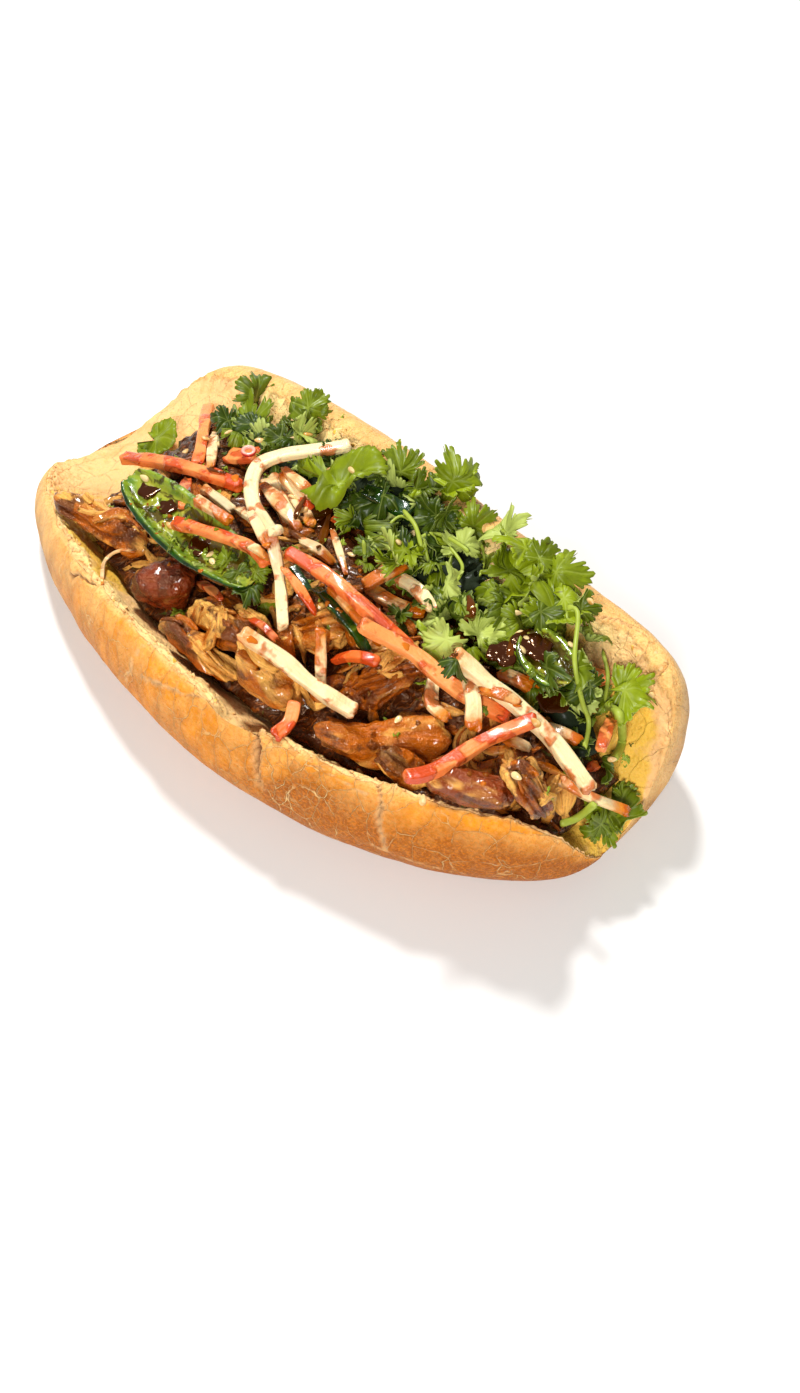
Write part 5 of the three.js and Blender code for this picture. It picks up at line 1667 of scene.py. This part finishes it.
class BANHMI_OT_roll(bpy.types.Operator):
    """Makes the crusty roll"""

    bl_idname = "banh_mi.roll"
    bl_label = "Roll"

    def execute(self, context):
        settings = context.scene.banh_mi_roll
        material = crust_finish(settings)
        make_roll(settings, material)
        make_crumbs(material, random.Random(CHANCE["crumbs"]))
        return {"FINISHED"}


class BANHMI_OT_filling_bed(bpy.types.Operator):
    """Makes the mixed lower layer of the filling"""

    bl_idname = "banh_mi.filling_bed"
    bl_label = "Filling Bed"

    def execute(self, context):
        make_bed(bed_finish())
        return {"FINISHED"}


class BANHMI_OT_meat(bpy.types.Operator):
    """Makes the pieces of glazed meat"""

    bl_idname = "banh_mi.meat"
    bl_label = "Meat"

    def execute(self, context):
        settings = context.scene.banh_mi_filling
        material = meat_finish(settings)
        for node in MEAT:
            make_meat(settings, material, node)
        make_shreds(material, random.Random(CHANCE["shreds"]))
        return {"FINISHED"}


class BANHMI_OT_strips(bpy.types.Operator):
    """Makes the strips of carrot and daikon"""

    bl_idname = "banh_mi.strips"
    bl_label = "Carrot and Daikon"

    def execute(self, context):
        settings = context.scene.banh_mi_filling
        materials = {"carrot": carrot_finish(settings), "daikon": daikon_finish(settings)}
        for node in STRIPS:
            make_strip(materials[node.split("_")[0]], node)
        return {"FINISHED"}


class BANHMI_OT_chilli(bpy.types.Operator):
    """Makes the slices of green chilli and the ring of red chilli"""

    bl_idname = "banh_mi.chilli"
    bl_label = "Chilli"

    def execute(self, context):
        settings = context.scene.banh_mi_filling
        material = chilli_finish(settings)
        for node in BOATS:
            make_boat(settings, material, node)
        for node in ("chilli_dark_slice", "chilli_thin_slice"):
            make_chilli_strip(settings, material, node)
        make_chilli_ring(red_chilli_finish(settings))
        return {"FINISHED"}


class BANHMI_OT_herbs(bpy.types.Operator):
    """Makes the coriander"""

    bl_idname = "banh_mi.herbs"
    bl_label = "Coriander"

    def execute(self, context):
        settings = context.scene.banh_mi_filling
        material = herb_finish(settings)
        make_herb_heap(settings, material, random.Random(CHANCE["heap"]))
        for node in LEAVES:
            make_leaf(settings, material, node)
        make_seen_leaves(settings, material, random.Random(CHANCE["leaves"]))
        make_stems(material)
        return {"FINISHED"}


class BANHMI_OT_bits(bpy.types.Operator):
    """Makes the short strips and the torn bits of leaf"""

    bl_idname = "banh_mi.bits"
    bl_label = "Loose Bits"

    def execute(self, context):
        settings = context.scene.banh_mi_filling
        make_bits("carrot_bits", CARROT_BITS, carrot_finish(settings), "carrot")
        make_bits("daikon_bits", DAIKON_BITS, daikon_finish(settings), "daikon")
        make_herb_bits(settings, herb_finish(settings), random.Random(CHANCE["bits"]))
        return {"FINISHED"}


class BANHMI_OT_sauce(bpy.types.Operator):
    """Makes the sauce"""

    bl_idname = "banh_mi.sauce"
    bl_label = "Sauce"

    def execute(self, context):
        settings = context.scene.banh_mi_filling
        make_sauce(sauce_finish(settings), random.Random(CHANCE["sauce"]))
        return {"FINISHED"}


class BANHMI_OT_sesame(bpy.types.Operator):
    """Makes the sesame seeds"""

    bl_idname = "banh_mi.sesame"
    bl_label = "Sesame"

    def execute(self, context):
        settings = context.scene.banh_mi_filling
        make_seeds(settings, sesame_finish(settings), random.Random(CHANCE["sesame"]))
        return {"FINISHED"}


OPERATORS = [
    BANHMI_OT_stage, BANHMI_OT_roll, BANHMI_OT_filling_bed, BANHMI_OT_meat, BANHMI_OT_strips,
    BANHMI_OT_chilli, BANHMI_OT_bits, BANHMI_OT_herbs, BANHMI_OT_sauce, BANHMI_OT_sesame,
]
SETTINGS = {
    "banh_mi_roll": BanhMiRollSettings, "banh_mi_filling": BanhMiFillingSettings,
    "banh_mi_stage": BanhMiStageSettings,
}


class BANHMI_PT_panel(bpy.types.Panel):
    """Lists the pieces of the sandwich"""

    bl_idname = "BANHMI_PT_panel"
    bl_label = "Banh Mi"
    bl_space_type = "VIEW_3D"
    bl_region_type = "UI"
    bl_category = "Banh Mi"

    def draw(self, context):
        for operator in OPERATORS:
            self.layout.operator(operator.bl_idname)
        for name, group in SETTINGS.items():
            box = self.layout.box()
            for prop in group.__annotations__:
                box.prop(getattr(context.scene, name), prop)


def register():
    for name, group in SETTINGS.items():
        bpy.utils.register_class(group)
        setattr(bpy.types.Scene, name, PointerProperty(type=group))
    for one in (*OPERATORS, BANHMI_PT_panel):
        bpy.utils.register_class(one)


def unregister():
    for one in (BANHMI_PT_panel, *reversed(OPERATORS)):
        bpy.utils.unregister_class(one)
    for name, group in SETTINGS.items():
        delattr(bpy.types.Scene, name)
        bpy.utils.unregister_class(group)


def main():
    register()
    bpy.ops.banh_mi.stage()
    bpy.ops.banh_mi.roll()
    bpy.ops.banh_mi.filling_bed()
    bpy.ops.banh_mi.meat()
    bpy.ops.banh_mi.strips()
    bpy.ops.banh_mi.chilli()
    bpy.ops.banh_mi.bits()
    bpy.ops.banh_mi.herbs()
    bpy.ops.banh_mi.sauce()
    bpy.ops.banh_mi.sesame()


if __name__ == "__main__":
    main()
